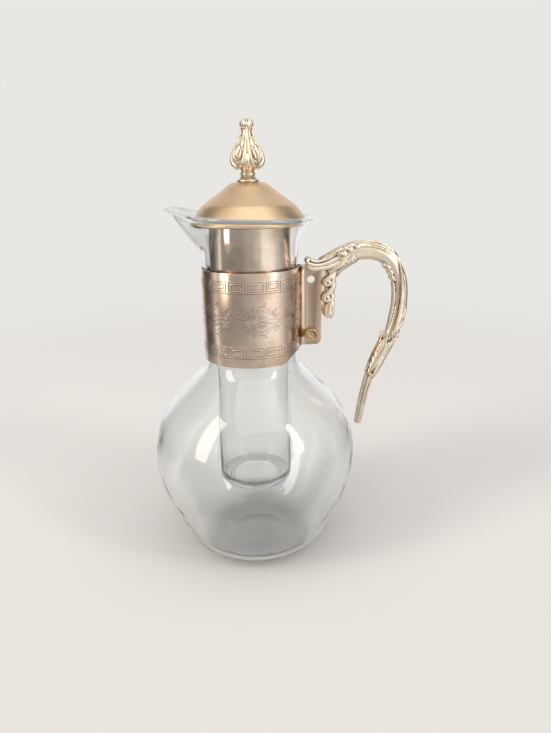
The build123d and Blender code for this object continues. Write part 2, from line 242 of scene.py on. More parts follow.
band_silver = silver_plate("tarnished_silver_plate", "#DFCBB9", "#C8B09B", 0.15, 0.27, ears="#B7A08B")
sleeve_silver = silver_plate("polished_silver_plate", "#DBC8B4", "#C2AB94", 0.06, 0.13)
# Painted highlight: pale threads beside each engraved line stand in for the glint of the cut.
highlight_thread_silver = silver_plate("engraving_painted_highlight", "#F0E4D8", "#D8C4B2", 0.2, 0.3)
# Painted shadow: dark threads beside them stand in for the shade inside the cut.
shadow_thread_silver = silver_plate("engraving_painted_shadow", "#8C715E", "#6E5544", 0.35, 0.5)
print("silver:", band_silver.name, sleeve_silver.name, highlight_thread_silver.name, shadow_thread_silver.name)

# %% [markdown]
# ## Satin gold
# The dome was spun from sheet, brushed on the lathe and gilded, so it has a soft sheen and no sharp
# reflections. Its brush lines are circles about the axis. A pattern that depends only on the distance
# from the axis gives them, however steep the dome is.

# %% Make the satin gold
def satin_gold(name):
    """Gilded sheet with lathe lines some 0.35 mm apart and slow changes of tone."""
    material, tree = empty_material(name)
    place = add_node(tree, "TexCoord")
    flat = add_node(tree, "VectorMath", {0: (place, "Object"), 1: (1.0, 1.0, 0.0)}, operation="MULTIPLY")
    distance = add_node(tree, "VectorMath", {0: (flat, "Vector")}, operation="LENGTH")
    lines = add_node(tree, "TexNoise", {"W": (distance, "Value"), "Scale": 2900.0, "Detail": 2.0},
                     noise_dimensions="1D")
    bloom = add_node(tree, "TexNoise", {"Vector": (place, "Object"), "Scale": 60.0, "Detail": 3.0})
    tint = add_node(tree, "Mix", {MIX_FACTOR: (bloom, "Fac"), MIX_A: colour("#E9CDA9"),
                                  MIX_B: colour("#D8B78F")}, data_type="RGBA")
    rough = add_node(tree, "MapRange", {"Value": (lines, "Fac"), "From Min": 0.2, "From Max": 0.8,
                                        "To Min": 0.3, "To Max": 0.44})
    bump = add_node(tree, "Bump", {"Height": (lines, "Fac"), "Strength": 0.6, "Distance": 0.008 * MM})
    shader = add_node(tree, "BsdfPrincipled", {"Base Color": (tint, MIX_COLOUR), "Metallic": 1.0,
                                               "Roughness": (rough, "Result"), "Normal": (bump, "Normal")})
    add_node(tree, "OutputMaterial", {"Surface": (shader, "BSDF")})
    return material


dome_gold = satin_gold("satin_gilt_brass")
print("gold:", dome_gold.name)

# %% [markdown]
# ## Cast metal with brown in its hollows
# The handle and the finial are castings, plated pale gold. Polish and hands keep the high places bright,
# and brown tarnish stays in the hollows. A point attribute named "hollow", measured on each mesh further
# down, says how deep each point lies, and the material turns brown and dull with it. The casting's own
# grain is about 0.4 mm.

# %% Make the cast metal and the brass
def aged_metal(name, bright, worn, hollow_tone, smooth, dull, grain):
    """Metal that is bright where it is proud and brown where it is hollow. Grain is in millimetres."""
    material, tree = empty_material(name)
    place = add_node(tree, "TexCoord")
    depth = add_node(tree, "Attribute", attribute_name="hollow")
    cloud = add_node(tree, "TexNoise", {"Vector": (place, "Object"), "Scale": 150.0, "Detail": 4.0})
    base = add_node(tree, "Mix", {MIX_FACTOR: (cloud, "Fac"), MIX_A: colour(bright), MIX_B: colour(worn)},
                    data_type="RGBA")
    ragged = add_node(tree, "Math", {0: (cloud, "Fac"), 1: 0.35, 2: -0.17}, operation="MULTIPLY_ADD")
    deep = add_node(tree, "Math", {0: (depth, "Fac"), 1: (ragged, "Value")}, operation="ADD")
    dirt = add_node(tree, "MapRange", {"Value": (deep, "Value"), "From Min": 0.12, "From Max": 0.95},
                    interpolation_type="SMOOTHSTEP")
    tint = add_node(tree, "Mix", {MIX_FACTOR: (dirt, "Result"), MIX_A: (base, MIX_COLOUR),
                                  MIX_B: colour(hollow_tone)}, data_type="RGBA")
    rough = add_node(tree, "MapRange", {"Value": (dirt, "Result"), "To Min": smooth, "To Max": dull})
    grains = add_node(tree, "TexNoise", {"Vector": (place, "Object"), "Scale": 1 / (grain * MM), "Detail": 2.0})
    bump = add_node(tree, "Bump", {"Height": (grains, "Fac"), "Strength": 0.5, "Distance": 0.02 * MM})
    shader = add_node(tree, "BsdfPrincipled", {"Base Color": (tint, MIX_COLOUR), "Metallic": 1.0,
                                               "Roughness": (rough, "Result"), "Normal": (bump, "Normal")})
    add_node(tree, "OutputMaterial", {"Surface": (shader, "BSDF")})
    return material


cast_metal = aged_metal("gilt_casting", "#F2E6D4", "#DCC9AE", "#5E3E26", 0.27, 0.55, 0.4)
screw_brass = aged_metal("worn_screw_brass", "#DCC09A", "#BC9A72", "#3E2612", 0.28, 0.55, 0.3)
print("castings:", cast_metal.name, screw_brass.name)

# %% [markdown]
# ## Rubber ring and fibre strip
# Two small parts hide between metal and glass: a nitrile ring that grips the ice tube, and a strip that
# keeps the band off the neck. Both are matt, with a fine grain and some dust.

# %% Make the rubber and the fibre strip
def matt_strip(name, dark, pale, roughness, grain):
    """A matt part with fine grain. Grain is in millimetres."""
    material, tree = empty_material(name)
    place = add_node(tree, "TexCoord")
    grains = add_node(tree, "TexNoise", {"Vector": (place, "Object"), "Scale": 1 / (grain * MM), "Detail": 3.0})
    tint = add_node(tree, "Mix", {MIX_FACTOR: (grains, "Fac"), MIX_A: colour(dark), MIX_B: colour(pale)},
                    data_type="RGBA")
    bump = add_node(tree, "Bump", {"Height": (grains, "Fac"), "Strength": 0.6, "Distance": 0.03 * MM})
    shader = add_node(tree, "BsdfPrincipled", {"Base Color": (tint, MIX_COLOUR), "Roughness": roughness,
                                               "Normal": (bump, "Normal")})
    add_node(tree, "OutputMaterial", {"Surface": (shader, "BSDF")})
    return material


seal_rubber = matt_strip("nitrile_rubber", "#2B2927", "#45413D", 0.75, 0.3)
liner_strip = matt_strip("pressed_fibre_strip", "#3D352C", "#5C5144", 0.85, 0.5)

hidden_pieces = {"tube_seal": seal_rubber, "band_liner": liner_strip, "finial_washer": screw_brass,
                 "finial_screw": screw_brass}
for node, finish in hidden_pieces.items():
    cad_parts[node].data.materials.clear()
    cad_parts[node].data.materials.append(finish)
    print("kept from the CAD model:", node)

# %% [markdown]
# ## Drawing an outline and spinning it
# Most of a carafe is round, so its pieces are made as a potter would draw them: one outline in the XZ
# plane, turned once about Z. An outline is put together from arcs, straight upright lines and smooth
# curves through a few points.

# %% Lines that an outline is made of
def arc_line(centre, radius, start, end, steps):
    """Points along an arc in the XZ plane. Angles are in degrees and go from +X towards +Z."""
    angles = [radians(start + (end - start) * i / steps) for i in range(steps + 1)]
    return [(centre[0] + radius * cos(a), centre[1] + radius * sin(a)) for a in angles]


def upright(r, *heights):
    """Points of a straight upright line."""
    return [(r, z) for z in heights]


def smooth_line(points, steps):
    """Points of a smooth curve that passes through all the given ones."""
    ends = [points[0], *points, points[-1]]
    line = []
    for p0, p1, p2, p3 in zip(ends, ends[1:], ends[2:], ends[3:]):
        for i in range(steps):
            t = i / steps
            line.append(tuple(0.5 * (2 * b + (c - a) * t + (2 * a - 5 * b + 4 * c - d) * t * t
                                     + (3 * b - a - 3 * c + d) * t**3) for a, b, c, d in zip(p0, p1, p2, p3)))
    return line + [points[-1]]


print("a quarter of a 10 mm circle:", [(round(x, 1), round(z, 1)) for x, z in arc_line((0, 0), 10, 0, 90, 2)])

# %% [markdown]
# The outline starts as one vertex, which is extruded from point to point. Spin turns it about Z. Where it
# starts and ends on the axis, the turned surface closes by itself once doubles are merged. Some pieces
# are then pushed into shape point by point, and every piece ends with the same steps: smooth shading with
# sharp edges kept, its finish and its body.

# %% Turn an outline, change its points, and hand the piece over
def draw_outline(name, points):
    """Draws a bare line through (r, z) points in millimetres, by extruding one vertex again and again."""
    edit(add(bpy.ops.mesh.primitive_plane_add, name, size=MM))
    bpy.ops.mesh.merge(type="CENTER")
    bpy.ops.transform.translate(value=(points[0][0] * MM, 0, points[0][1] * MM))
    for (r0, z0), (r1, z1) in zip(points, points[1:]):
        step = ((r1 - r0) * MM, 0, (z1 - z0) * MM)
        bpy.ops.mesh.extrude_region_move(TRANSFORM_OT_translate={"value": step})
    return leave_edit()


def spin_outline(name, points, steps):
    """Turns an outline once about Z, closes its seam and poles and points its faces outwards."""
    edit(draw_outline(name, points))
    bpy.ops.mesh.spin(steps=steps, angle=2 * pi, center=(0, 0, 0), axis=(0, 0, 1))
    bpy.ops.mesh.select_all(action="SELECT")
    bpy.ops.mesh.remove_doubles(threshold=0.002 * MM)
    bpy.ops.mesh.normals_make_consistent(inside=False)
    obj = leave_edit()
    print(name, "was turned in", steps, "steps")
    return obj


def read_points(obj):
    """All vertices of a mesh as an array, in metres."""
    points = np.zeros(3 * len(obj.data.vertices))
    obj.data.vertices.foreach_get("co", points)
    return points.reshape(-1, 3)


def write_points(obj, points):
    """Puts changed vertices back into a mesh."""
    obj.data.vertices.foreach_set("co", np.asarray(points, float).ravel())
    obj.data.update()


def hand_over(obj, body, slot, finish, *nodes, sharp=40):
    """Ends a piece: shades it, gives it its finish, and tells the frame where it belongs."""
    only(obj)
    bpy.ops.object.shade_smooth_by_angle(angle=radians(sharp))
    obj.data.materials.clear()
    obj.data.materials.append(finish)
    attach(obj, body)
    if nodes:
        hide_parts(*nodes)
    print(obj.name, "has", sum(len(f.vertices) - 2 for f in obj.data.polygons), "triangles")
    return obj


# %% [markdown]
# ## The vessel
# The bowl is blown into a mould: heel, belly and shoulder are arcs that run into each other, and a small
# fillet turns the shoulder into the straight neck. The wall is 2.4 mm thick and the base 5.5 mm. Its
# underside is pushed up a little, so that the vessel stands on a ring. The lip was melted round after it
# was cut, so it ends in a bead a little thicker than the wall.

# %% Turn the vessel's wall
WALL, BASE = 2.4, 5.5
NECK_RADIUS, NECK_BOTTOM, FLARE_START = 28.8, 131.515, 197.015
HEEL, BELLY, SHOULDER = (22.5, 28.152), (-3.6, 67.5), (7.8, 67.5)
HEEL_RADIUS, BELLY_RADIUS, SHOULDER_RADIUS = 28.152, 68.0, 56.6
FILLET, FILLET_RADIUS = (40.8, NECK_BOTTOM), 12.0
FLARE, FLARE_RADIUS = (46.8, FLARE_START), 18.0
LIP, LIP_RADIUS, LIP_FOOT = (38.62, 214.25), 1.32, 212.9

outside = [(0, 1.3), (8, 1.2), (14, 0.8), (18.5, 0.25), (20.6, 0), *arc_line(HEEL, HEEL_RADIUS, -90, -24, 14),
           *arc_line(BELLY, BELLY_RADIUS, -24, 0, 12), *arc_line(SHOULDER, SHOULDER_RADIUS, 0, 45, 16)[1:],
           *arc_line(FILLET, FILLET_RADIUS, 225, 180, 8), *upright(NECK_RADIUS, 145, 160, 175, 186, 191, 194),
           *arc_line(FLARE, FLARE_RADIUS, 180, 118, 14)]
lip = arc_line(LIP, LIP_RADIUS, -72, 130, 12)
inside = [*arc_line(FLARE, FLARE_RADIUS + WALL, 118, 180, 14), *upright(NECK_RADIUS - WALL, 194, 191, 186, 160),
          *arc_line(FILLET, FILLET_RADIUS + WALL, 180, 225, 8),
          *arc_line(SHOULDER, SHOULDER_RADIUS - WALL, 45, 0, 16),
          *arc_line(BELLY, BELLY_RADIUS - WALL, 0, -24, 12)[1:],
          *arc_line(HEEL, HEEL_RADIUS - WALL, -24, -61.6, 10), (24, BASE), (12, BASE), (0, BASE)]
vessel = spin_outline("blown_vessel", outside + lip + inside, steps=192)
print("vessel has", len(vessel.data.vertices), "vertices")

# %% [markdown]
# ## Pulling the spout
# A glassmaker pulls the spout out of the hot rim with a tool, so it flows out of the flare with no seam.
# Its front is a straight slanting keel. The same is done here to the turned mesh: at each height the
# mouth's circle and a smaller circle at the keel are wrapped by one taut outline, and the wall moves out
# to it. The rim climbs towards the spout at the same time.

# %% Describe the pulled mouth
KEEL_START, KEEL_RADIUS, KEEL_SLOPE, KEEL_HEIGHT = 195.7, 29.0, 0.807, 26.5
NOSE_BELOW, NOSE_GROWTH = 3.0, 6.3
RIM_LIFT, RIM_TILT, TIP_RISE, TIP_WIDTH = 0.5, 1.2, 4.3, 29


def taut_radius(psi, ring, reach, nose):
    """How far a taut outline round a ring and a nose circle is from the axis, psi away from the spout."""
    centre = reach - nose
    if centre <= abs(ring - nose) + 1e-6:
        return ring
    beta = acos((ring - nose) / centre)
    nose_angle = atan2(nose * sin(beta), centre + nose * cos(beta))
    psi = abs(psi)
    if psi < nose_angle:
        return centre * cos(psi) + sqrt(max(nose**2 - (centre * sin(psi)) ** 2, 0.0))
    return ring / cos(psi - beta) if psi < beta else ring


def rim_rise(psi):
    """How far the rim stands above its turned height, psi away from the spout."""
    return RIM_LIFT + RIM_TILT * (1 + cos(psi)) + TIP_RISE * np.exp(-((psi / radians(TIP_WIDTH)) ** 2))


def outer_ring(z):
    """The flare's outer radius at a turned height."""
    return FLARE[0] - sqrt(FLARE_RADIUS**2 - max(z - FLARE_START, 0.0) ** 2)


print("the rim rises", round(rim_rise(0), 1), "mm at the spout and", round(rim_rise(pi), 1), "mm at the handle")

# %% Pull the spout out of the turned mesh
points = read_points(vessel) / MM
from_axis = np.hypot(points[:, 0], points[:, 1])
lip_highlight_points = np.hypot(from_axis - LIP[0], points[:, 2] - LIP[1]) < LIP_RADIUS + 0.05  # before the pull
for point, radius in zip(points, from_axis):
    z = point[2]
    if z <= KEEL_START or radius < NECK_RADIUS - WALL - 0.1:
        continue
    psi = atan2(point[1], -point[0])
    share = min((z - KEEL_START) / (LIP[1] - KEEL_START), 1.0)
    rise = rim_rise(abs(psi)) * share**1.6
    wall_z = min(z, LIP_FOOT)
    climb = wall_z + rise - KEEL_START
    nose = NOSE_BELOW + NOSE_GROWTH * climb / KEEL_HEIGHT
    ring = outer_ring(wall_z)
    shift = max(taut_radius(psi, ring, KEEL_RADIUS + KEEL_SLOPE * climb, nose) - ring, 0.0)
    scale = (radius + shift) / radius
    point[:] = (point[0] * scale, point[1] * scale, z + rise)
write_points(vessel, points * MM)
hand_over(vessel, "carafe", "vessel_glass", vessel_glass, "carafe_glass", sharp=80)
# The lip's faces get the painted-highlight skin.
vessel.data.materials.append(rim_highlight_skin)
for face in vessel.data.polygons:
    face.material_index = int(lip_highlight_points[list(face.vertices)].all())
print("spout reaches", round(max(-points[:, 0]), 1), "mm and the rim", round(max(points[:, 2]), 1), "mm")

# %% [markdown]
# ## The ice tube
# A drawn glass tube with its bottom melted shut. Near the bottom, moulded teeth run round the corner, and
# a bearing ring stands below it. The teeth are part of the wall: they are pressed into the turned mesh by
# moving its outer skin in and out around the corner. The mould left their skin matt, so they read as a
# pale ring of fine ticks.

# %% Turn the tube and press its teeth
TUBE_RADIUS, TUBE_WALL = 23.4, 1.8
TUBE_TOP, TUBE_BOTTOM = 196.444, 45.644
CORNER, TUBE_FLOOR, TUBE_LIP = 6.5, 4.0, 0.9
FOOT_RING, FOOT_RING_RADIUS = (16.5, 45.5), 1.3
TEETH, TOOTH_HEIGHT, TOOTH_MIDDLE, TOOTH_REACH, MATT_FROM = 64, 0.4, 2.6, 2.4, 0.12
inner_corner = CORNER - TUBE_WALL
corner_place = (TUBE_RADIUS - CORNER, TUBE_BOTTOM + CORNER)

tube_outline = [(0, TUBE_BOTTOM), (8, TUBE_BOTTOM), (14.6, TUBE_BOTTOM),
                *arc_line(FOOT_RING, FOOT_RING_RADIUS, 175, 365, 8),
                *arc_line(corner_place, CORNER, -82, 0, 14),
                *upright(TUBE_RADIUS, 60, 90, 120, 150, 180, 192),
                *arc_line((TUBE_RADIUS - TUBE_LIP, TUBE_TOP - TUBE_LIP), TUBE_LIP, 0, 180, 8),
                *upright(TUBE_RADIUS - TUBE_WALL, 190, 150, 100),
                *arc_line((corner_place[0], TUBE_BOTTOM + TUBE_FLOOR + inner_corner), inner_corner, 0, -90, 8),
                (10, TUBE_BOTTOM + TUBE_FLOOR), (0, TUBE_BOTTOM + TUBE_FLOOR + 0.3)]
tube = spin_outline("ice_tube_glass", tube_outline, steps=288)
points = read_points(tube) / MM
radius = np.hypot(points[:, 0], points[:, 1])
height = points[:, 2]
ring_share = np.clip(1 - np.abs(height - (TUBE_BOTTOM + TOOTH_MIDDLE)) / TOOTH_REACH, 0, 1)
skin = np.hypot(radius - corner_place[0], height - corner_place[1]) > CORNER - 0.5
wave = 0.5 + 0.5 * np.cos(TEETH * np.arctan2(points[:, 1], points[:, 0]))
push = np.where(skin & (radius > corner_place[0]), TOOTH_HEIGHT * wave * np.sqrt(ring_share), 0)
points[:, :2] *= ((radius + push) / np.maximum(radius, 1e-6))[:, None]
write_points(tube, points * MM)
hand_over(tube, "ice_tube", "tube_glass", tube_glass, "ice_tube", sharp=80)
tube.data.materials.append(moulded_glass)
for face in tube.data.polygons:
    face.material_index = int(push[list(face.vertices)].max() > MATT_FROM)

# %% [markdown]
# ## The dome and its sleeve
# The dome is one spun sheet, 0.8 mm thick: nearly flat at the top, a long slope, a soft crease, and a
# fuller band above the rolled lip. The sleeve under it is a plain polished tube with a turned-in edge.

# %% Spin the dome and the sleeve
DOME_TOP, DOME_HOLE, DOME_SHEET, DOME_OFFSET = 235.5, 2.2, 0.8, 0.62
dome_skin = smooth_line([(7.4, DOME_TOP), (9.4, 235.3), (12.2, 233.7), (16.2, 230.6), (21.4, 226.9),
                         (25.4, 224.1), (27.3, 222.6), (29.3, 220.3), (31.3, 217.8), (32.6, 215.9),
                         (32.95, 214.9)], 5)
dome_lip = arc_line((32.1, 213.4), 0.9, 20, -150, 8)
dome_under = [(r - DOME_OFFSET, z - DOME_OFFSET) for r, z in reversed(dome_skin)]
dome_outline = [(DOME_HOLE, DOME_TOP), *dome_skin, *dome_lip, *dome_under,
                (DOME_HOLE, DOME_TOP - DOME_SHEET), (DOME_HOLE, DOME_TOP)]
dome = spin_outline("spun_dome", dome_outline, steps=160)
hand_over(dome, "lid", "satin_gold", dome_gold, "lid_dome")

SLEEVE_OUT, SLEEVE_IN, SLEEVE_BOTTOM, SLEEVE_TOP = 24.8, 24.2, 170.444, 223.2
sleeve_edge = (SLEEVE_OUT - SLEEVE_IN) / 2
sleeve_outline = [*upright(SLEEVE_IN, SLEEVE_TOP, 200, 180),
                  *arc_line((SLEEVE_IN + sleeve_edge, SLEEVE_BOTTOM + sleeve_edge), sleeve_edge, 180, 360, 6),
                  *upright(SLEEVE_OUT, 172, 180, 200, SLEEVE_TOP), (SLEEVE_IN, SLEEVE_TOP)]
sleeve = spin_outline("polished_sleeve", sleeve_outline, steps=160)
hand_over(sleeve, "lid", "silver_plate", sleeve_silver, "lid_skirt")

# %% [markdown]
# ## The clamp band
# One strip of 0.8 mm sheet goes round the neck, turns outwards in a small bend on the handle side and
# ends in two flat ears with two holes each. Seen from above it is a single line, so that line is drawn
# first, raised into a wall, and given its thickness. Its lower edge slants up to the ears, and the ears'
# lower corners are rounded.

# %% Draw the band from above and raise it
BAND_BOTTOM, BAND_TOP, BAND_MID, BAND_OUT = 131.515, 187.015, 29.6, 30.0
SHEET, EAR_MID, EAR_END, BEND = 0.8, 1.9, 43.0, 4.0
bend_y = EAR_MID + BEND
bend_x = sqrt((BAND_MID + BEND) ** 2 - bend_y**2)
bend_angle = atan2(bend_y, bend_x) * 180 / pi

half_plan = [(EAR_END, EAR_MID), *arc_line((bend_x, bend_y), BEND, -90, -180 + bend_angle, 8)]
plan = half_plan + arc_line((0, 0), BAND_MID, bend_angle, 360 - bend_angle, 150)[1:-1]
plan += [(x, -y) for x, y in reversed(half_plan)]

band = draw_outline("engraved_band", plan)
edit(band)
bpy.ops.transform.rotate(value=radians(-90), orient_axis="X", center_override=(0, 0, 0))
leave_edit()
points = read_points(band)
if points[0][1] < 0:
    points[:, 1] *= -1
points[:, 2] = BAND_BOTTOM * MM
write_points(band, points)
edit(band)
bpy.ops.mesh.extrude_region_move(TRANSFORM_OT_translate={"value": (0, 0, (BAND_TOP - BAND_BOTTOM) * MM)})
leave_edit()
print("bend starts at", round(bend_x, 2), "mm and", round(bend_angle, 1), "degrees")

# %% [markdown]
# The lower edge is lifted in a straight slant towards the ears, then the ears' corners are rounded while
# the sheet is still one face thick. Drilling comes after the sheet has its thickness.

# %% Shape the band's lower edge and corners, then drill it
SLANT_START, SLANT_LENGTH, EAR_LIFT, EAR_MIDDLE = 18.0, 9.5, 6.0, 150
points = read_points(band) / MM
slant = np.clip((points[:, 0] - SLANT_START) / SLANT_LENGTH, 0, 1) * EAR_LIFT
points[:, 2] = np.where(points[:, 2] < BAND_BOTTOM + 1, BAND_BOTTOM + slant, points[:, 2])
write_points(band, points * MM)

for low_side, corner_radius in ((True, 3.5), (False, 0.8)):
    edit(band)
    bpy.ops.mesh.select_all(action="DESELECT")
    leave_edit()
    for vertex in band.data.vertices:
        if vertex.co.x > (EAR_END - 0.05) * MM and (vertex.co.z < EAR_MIDDLE * MM) == low_side:
            vertex.select = True
    bpy.ops.object.mode_set(mode="EDIT")
    bpy.ops.mesh.bevel(offset=corner_radius * MM, segments=6, affect="VERTICES")
    leave_edit()

apply_modifier(band, "SOLIDIFY", thickness=SHEET * MM, offset=0.0, use_even_offset=True)
face_outwards(band)

HOLE_X, UPPER_HOLE, LOWER_HOLE, HOLE_RADIUS = 36.6, 178.315, 143.915, 2.3


def cut_away(obj, cutter):
    """Takes one closed mesh out of another and removes the cutter."""
    apply_modifier(obj, "BOOLEAN", object=cutter, operation="DIFFERENCE", solver="EXACT")
    bpy.data.objects.remove(cutter)


def rod_along_y(name, y, z, radius, depth, sides=48):
    """A rod at the clamp holes' X, laid along Y."""
    return add(bpy.ops.mesh.primitive_cylinder_add, name, vertices=sides, radius=radius * MM, depth=depth * MM,
               location=(HOLE_X * MM, y * MM, z * MM), rotation=(pi / 2, 0, 0))


def drill_ears(obj):
    """Bores the two clamp holes through a piece."""
    for z in (UPPER_HOLE, LOWER_HOLE):
        cut_away(obj, rod_along_y("drill_bit", 0, z, HOLE_RADIUS, depth=12))


drill_ears(band)
apply_modifier(band, "BEVEL", width=0.16 * MM, segments=2, limit_method="ANGLE", angle_limit=radians(40))
hand_over(band, "carafe", "silver_plate", band_silver, "neck_band")

# %% [markdown]
# ## Tapering strokes
# Ornament is drawn in strokes, as an engraver or a wax carver would: each is a curve through a few points
# with a radius at each. Blender turns a Bezier curve with a round bevel into a tapering tube, and many
# strokes in one curve object become one mesh.

# %% A helper that draws strokes
def draw_strokes(name, strokes, sides=3, steps=5, straight=False):
    """Draws strokes as one mesh. A stroke is a list of (x, y, z, radius) in millimetres."""
    curve = add(bpy.ops.curve.primitive_bezier_curve_add, name).data
    curve.splines.clear()
    curve.dimensions = "3D"
    curve.bevel_depth = MM
    curve.bevel_resolution = sides
    curve.resolution_u = steps
    curve.use_fill_caps = True
    for stroke in strokes:
        spline = curve.splines.new("POLY" if straight else "BEZIER")
        knots = spline.points if straight else spline.bezier_points
        knots.add(len(stroke) - 1)
        for knot, (x, y, z, radius) in zip(knots, stroke):
            knot.co = (x * MM, y * MM, z * MM, 1) if straight else (x * MM, y * MM, z * MM)
            knot.radius = radius
            if not straight:
                knot.handle_left_type = knot.handle_right_type = "AUTO"
    bpy.ops.object.convert(target="MESH")
    print(name, "was drawn in", len(strokes), "strokes")
    return bpy.context.active_object


# %% [markdown]
# ## The engraving: Greek-key borders
# Traditional engraving on such bands is a Greek key above and below a row of leaf sprays. It is drawn on
# a flat strip, as long as the way round the band, and then rolled on to it. Each line is 0.34 mm wide. A
# cut line shows as a bright edge beside a dark one. Two fine threads side by side paint the same: a painted
# highlight beside a painted shadow. They are real shapes, which a dent in the shading is not.

# %% Describe one key and a border of them
LINE, GROOVE_SHIFT, THREAD_PRESS = 0.17, 0.3, 0.35
STRIP_START, STRIP_END = 13.0, 347.0
STRIP_LENGTH = radians(STRIP_END - STRIP_START) * BAND_OUT


def split_long(line, step=1.5):
    """Adds points to long straight runs, so that the line can be rolled round."""
    result = [line[0]]
    for (s0, z0), (s1, z1) in zip(line, line[1:]):
        parts = max(1, int(hypot(s1 - s0, z1 - z0) / step))
        result += [(s0 + (s1 - s0) * i / parts, z0 + (z1 - z0) * i / parts) for i in range(1, parts + 1)]
    return result


def key_line(cell, rows, wide):
    """A square spiral that stands on the border's base line, in cells."""
    left, right, low, high = 0, wide, 1, rows
    line = [(0, 0), (0, high)]
    while right - left > 1 and high - low >= 1:
        line += [(right, high), (right, low)]
        left, high = left + 1, high - 1
        if right - left <= 1 or high - low < 1:
            break
        line += [(left, low), (left, high)]
        right, low = right - 1, low + 1
    return [(s * cell, z * cell) for s, z in line]


def border(bottom, cell, rows, wide, count):
    """A row of keys with a base line, alternately turned, as strokes on the flat strip."""
    pitch = STRIP_LENGTH / count
    lines = [[(0, bottom), (STRIP_LENGTH, bottom)]]
    for i in range(count):
        key = key_line(cell, rows, wide)
        if i % 2:
            key = [(wide * cell - s, z) for s, z in key]
        start = i * pitch + (pitch - wide * cell) / 2
        lines.append([(start + s, bottom + z) for s, z in key])
    return [[(s, 0, z, LINE) for s, z in split_long(line)] for line in lines]


print("the upper border's key:", key_line(1, rows=5, wide=7))

# %% Draw both borders on the flat strip
key_strokes = (border(bottom=175.8, cell=1.3, rows=5, wide=7, count=16)
               + border(bottom=137.6, cell=1.55, rows=4, wide=6, count=16))
keys = draw_strokes("key_threads", key_strokes, sides=1, straight=True)
print(len(key_strokes), "key lines on a strip", round(STRIP_LENGTH, 1), "mm long")

# %% [markdown]
# ## The engraving: leaf sprays
# Between the borders runs a row of sprays. Each has two rosettes, one above the other. Leaves fan out to
# the left, and to the right two tendrils arch over long leaves that reach to the next spray. A leaf is two
# bowed edges and a midrib. The upper half is drawn and mirrored to the lower one, a little smaller.

# %% Describe a leaf and a rosette
def leaf(base, tip, belly):
    """A lens-shaped leaf as two bowed edges and a midrib."""
    along = (tip[0] - base[0], tip[1] - base[1])
    length = hypot(*along)
    across = (-along[1] / length, along[0] / length)
    lines = []
    for side in (-1, 1):
        lines.append([tuple(b + f * a + side * w * belly * n for b, a, n in zip(base, along, across))
                      for f, w in ((0, 0), (0.3, 0.9), (0.62, 0.8), (1, 0))])
    lines.append([base, (base[0] + 0.7 * along[0], base[1] + 0.7 * along[1])])
    return lines


def rosette(height, petals, size):
    """A small flower: round petals about a button."""
    rings = [[(size * cos(a) + 0.45 * size * cos(b), height + size * sin(a) + 0.45 * size * sin(b))
              for b in np.linspace(0, 2 * pi, 7)] for a in np.linspace(0.3, 0.3 + 2 * pi, petals + 1)[:-1]]
    return rings + [[(0.4 * size * cos(a), height + 0.4 * size * sin(a)) for a in np.linspace(0, 2 * pi, 7)]]


print("a leaf has", len(leaf((0, 0), (5, 0), 0.9)), "lines and a rosette", len(rosette(3.2, 6, 1.35)))

# %% Draw one spray and repeat it along the strip
upper_half = [
    *rosette(3.2, 6, 1.35), *leaf((-1.4, 4.8), (-4.4, 9.6), 0.9), *leaf((-1.9, 4.2), (-7.2, 8.0), 0.95),
    *leaf((-2.1, 3.4), (-8.8, 5.2), 0.9), *leaf((-2.0, 2.2), (-8.6, 1.9), 0.8),
    *leaf((-0.2, 5.2), (0.6, 9.8), 0.8),
    [(1.4, 4.8), (3.6, 8.2), (6.6, 8.8), (9.4, 6.6), (11.2, 3.6)],
    [(2.0, 4.0), (4.2, 6.4), (6.4, 6.6), (8.6, 4.9), (9.8, 3.0)],
    *leaf((1.9, 1.2), (11.6, 1.2), 0.95), *leaf((2.4, 3.1), (8.2, 3.0), 0.7),
    *leaf((11.4, 3.4), (14.6, 7.4), 0.9), *leaf((12.2, 2.2), (16.4, 4.4), 0.85),
    *leaf((5.8, 8.9), (8.8, 11.0), 0.6),
    [(11.6, 1.2), (14.2, 0.9), (17.0, 0.2)],
]
LOWER_SIZE = 0.9
spray = upper_half + [[(s, -LOWER_SIZE * z) for s, z in line] for line in upper_half]

SPRAYS, SPRAY_HEIGHT, THIN_END = 6, 159.6, 0.6
front_of_strip = radians(270 - STRIP_START) * BAND_OUT
spray_pitch = STRIP_LENGTH / SPRAYS
spray_strokes = []
for count in range(SPRAYS):
    middle = (front_of_strip + count * spray_pitch) % STRIP_LENGTH
    for line in spray:
        stroke = [(middle + s, 0, SPRAY_HEIGHT + z, LINE * (THIN_END if i in (0, len(line) - 1) else 1.0))
                  for i, (s, z) in enumerate(line)]
        if all(0 <= s <= STRIP_LENGTH for s, _, _, _ in stroke):
            spray_strokes.append(stroke)
sprays = draw_strokes("spray_threads", spray_strokes, sides=1, steps=4)

# %% [markdown]
# Rolling the strip is one formula: the distance along it becomes an angle, and the height of a thread
# above it becomes a distance from the band. The threads are pressed to a third of their height, so that
# they stand only 0.06 mm proud. A burin leaves a bright edge and a dark groove side by side, so the same
# threads are rolled on twice: once pale, as a painted highlight, and once dark, as a painted shadow, 0.3 mm
# further on.

# %% Roll the strip on to the band
threads = join([keys, sprays], "engraved_edge_highlights")
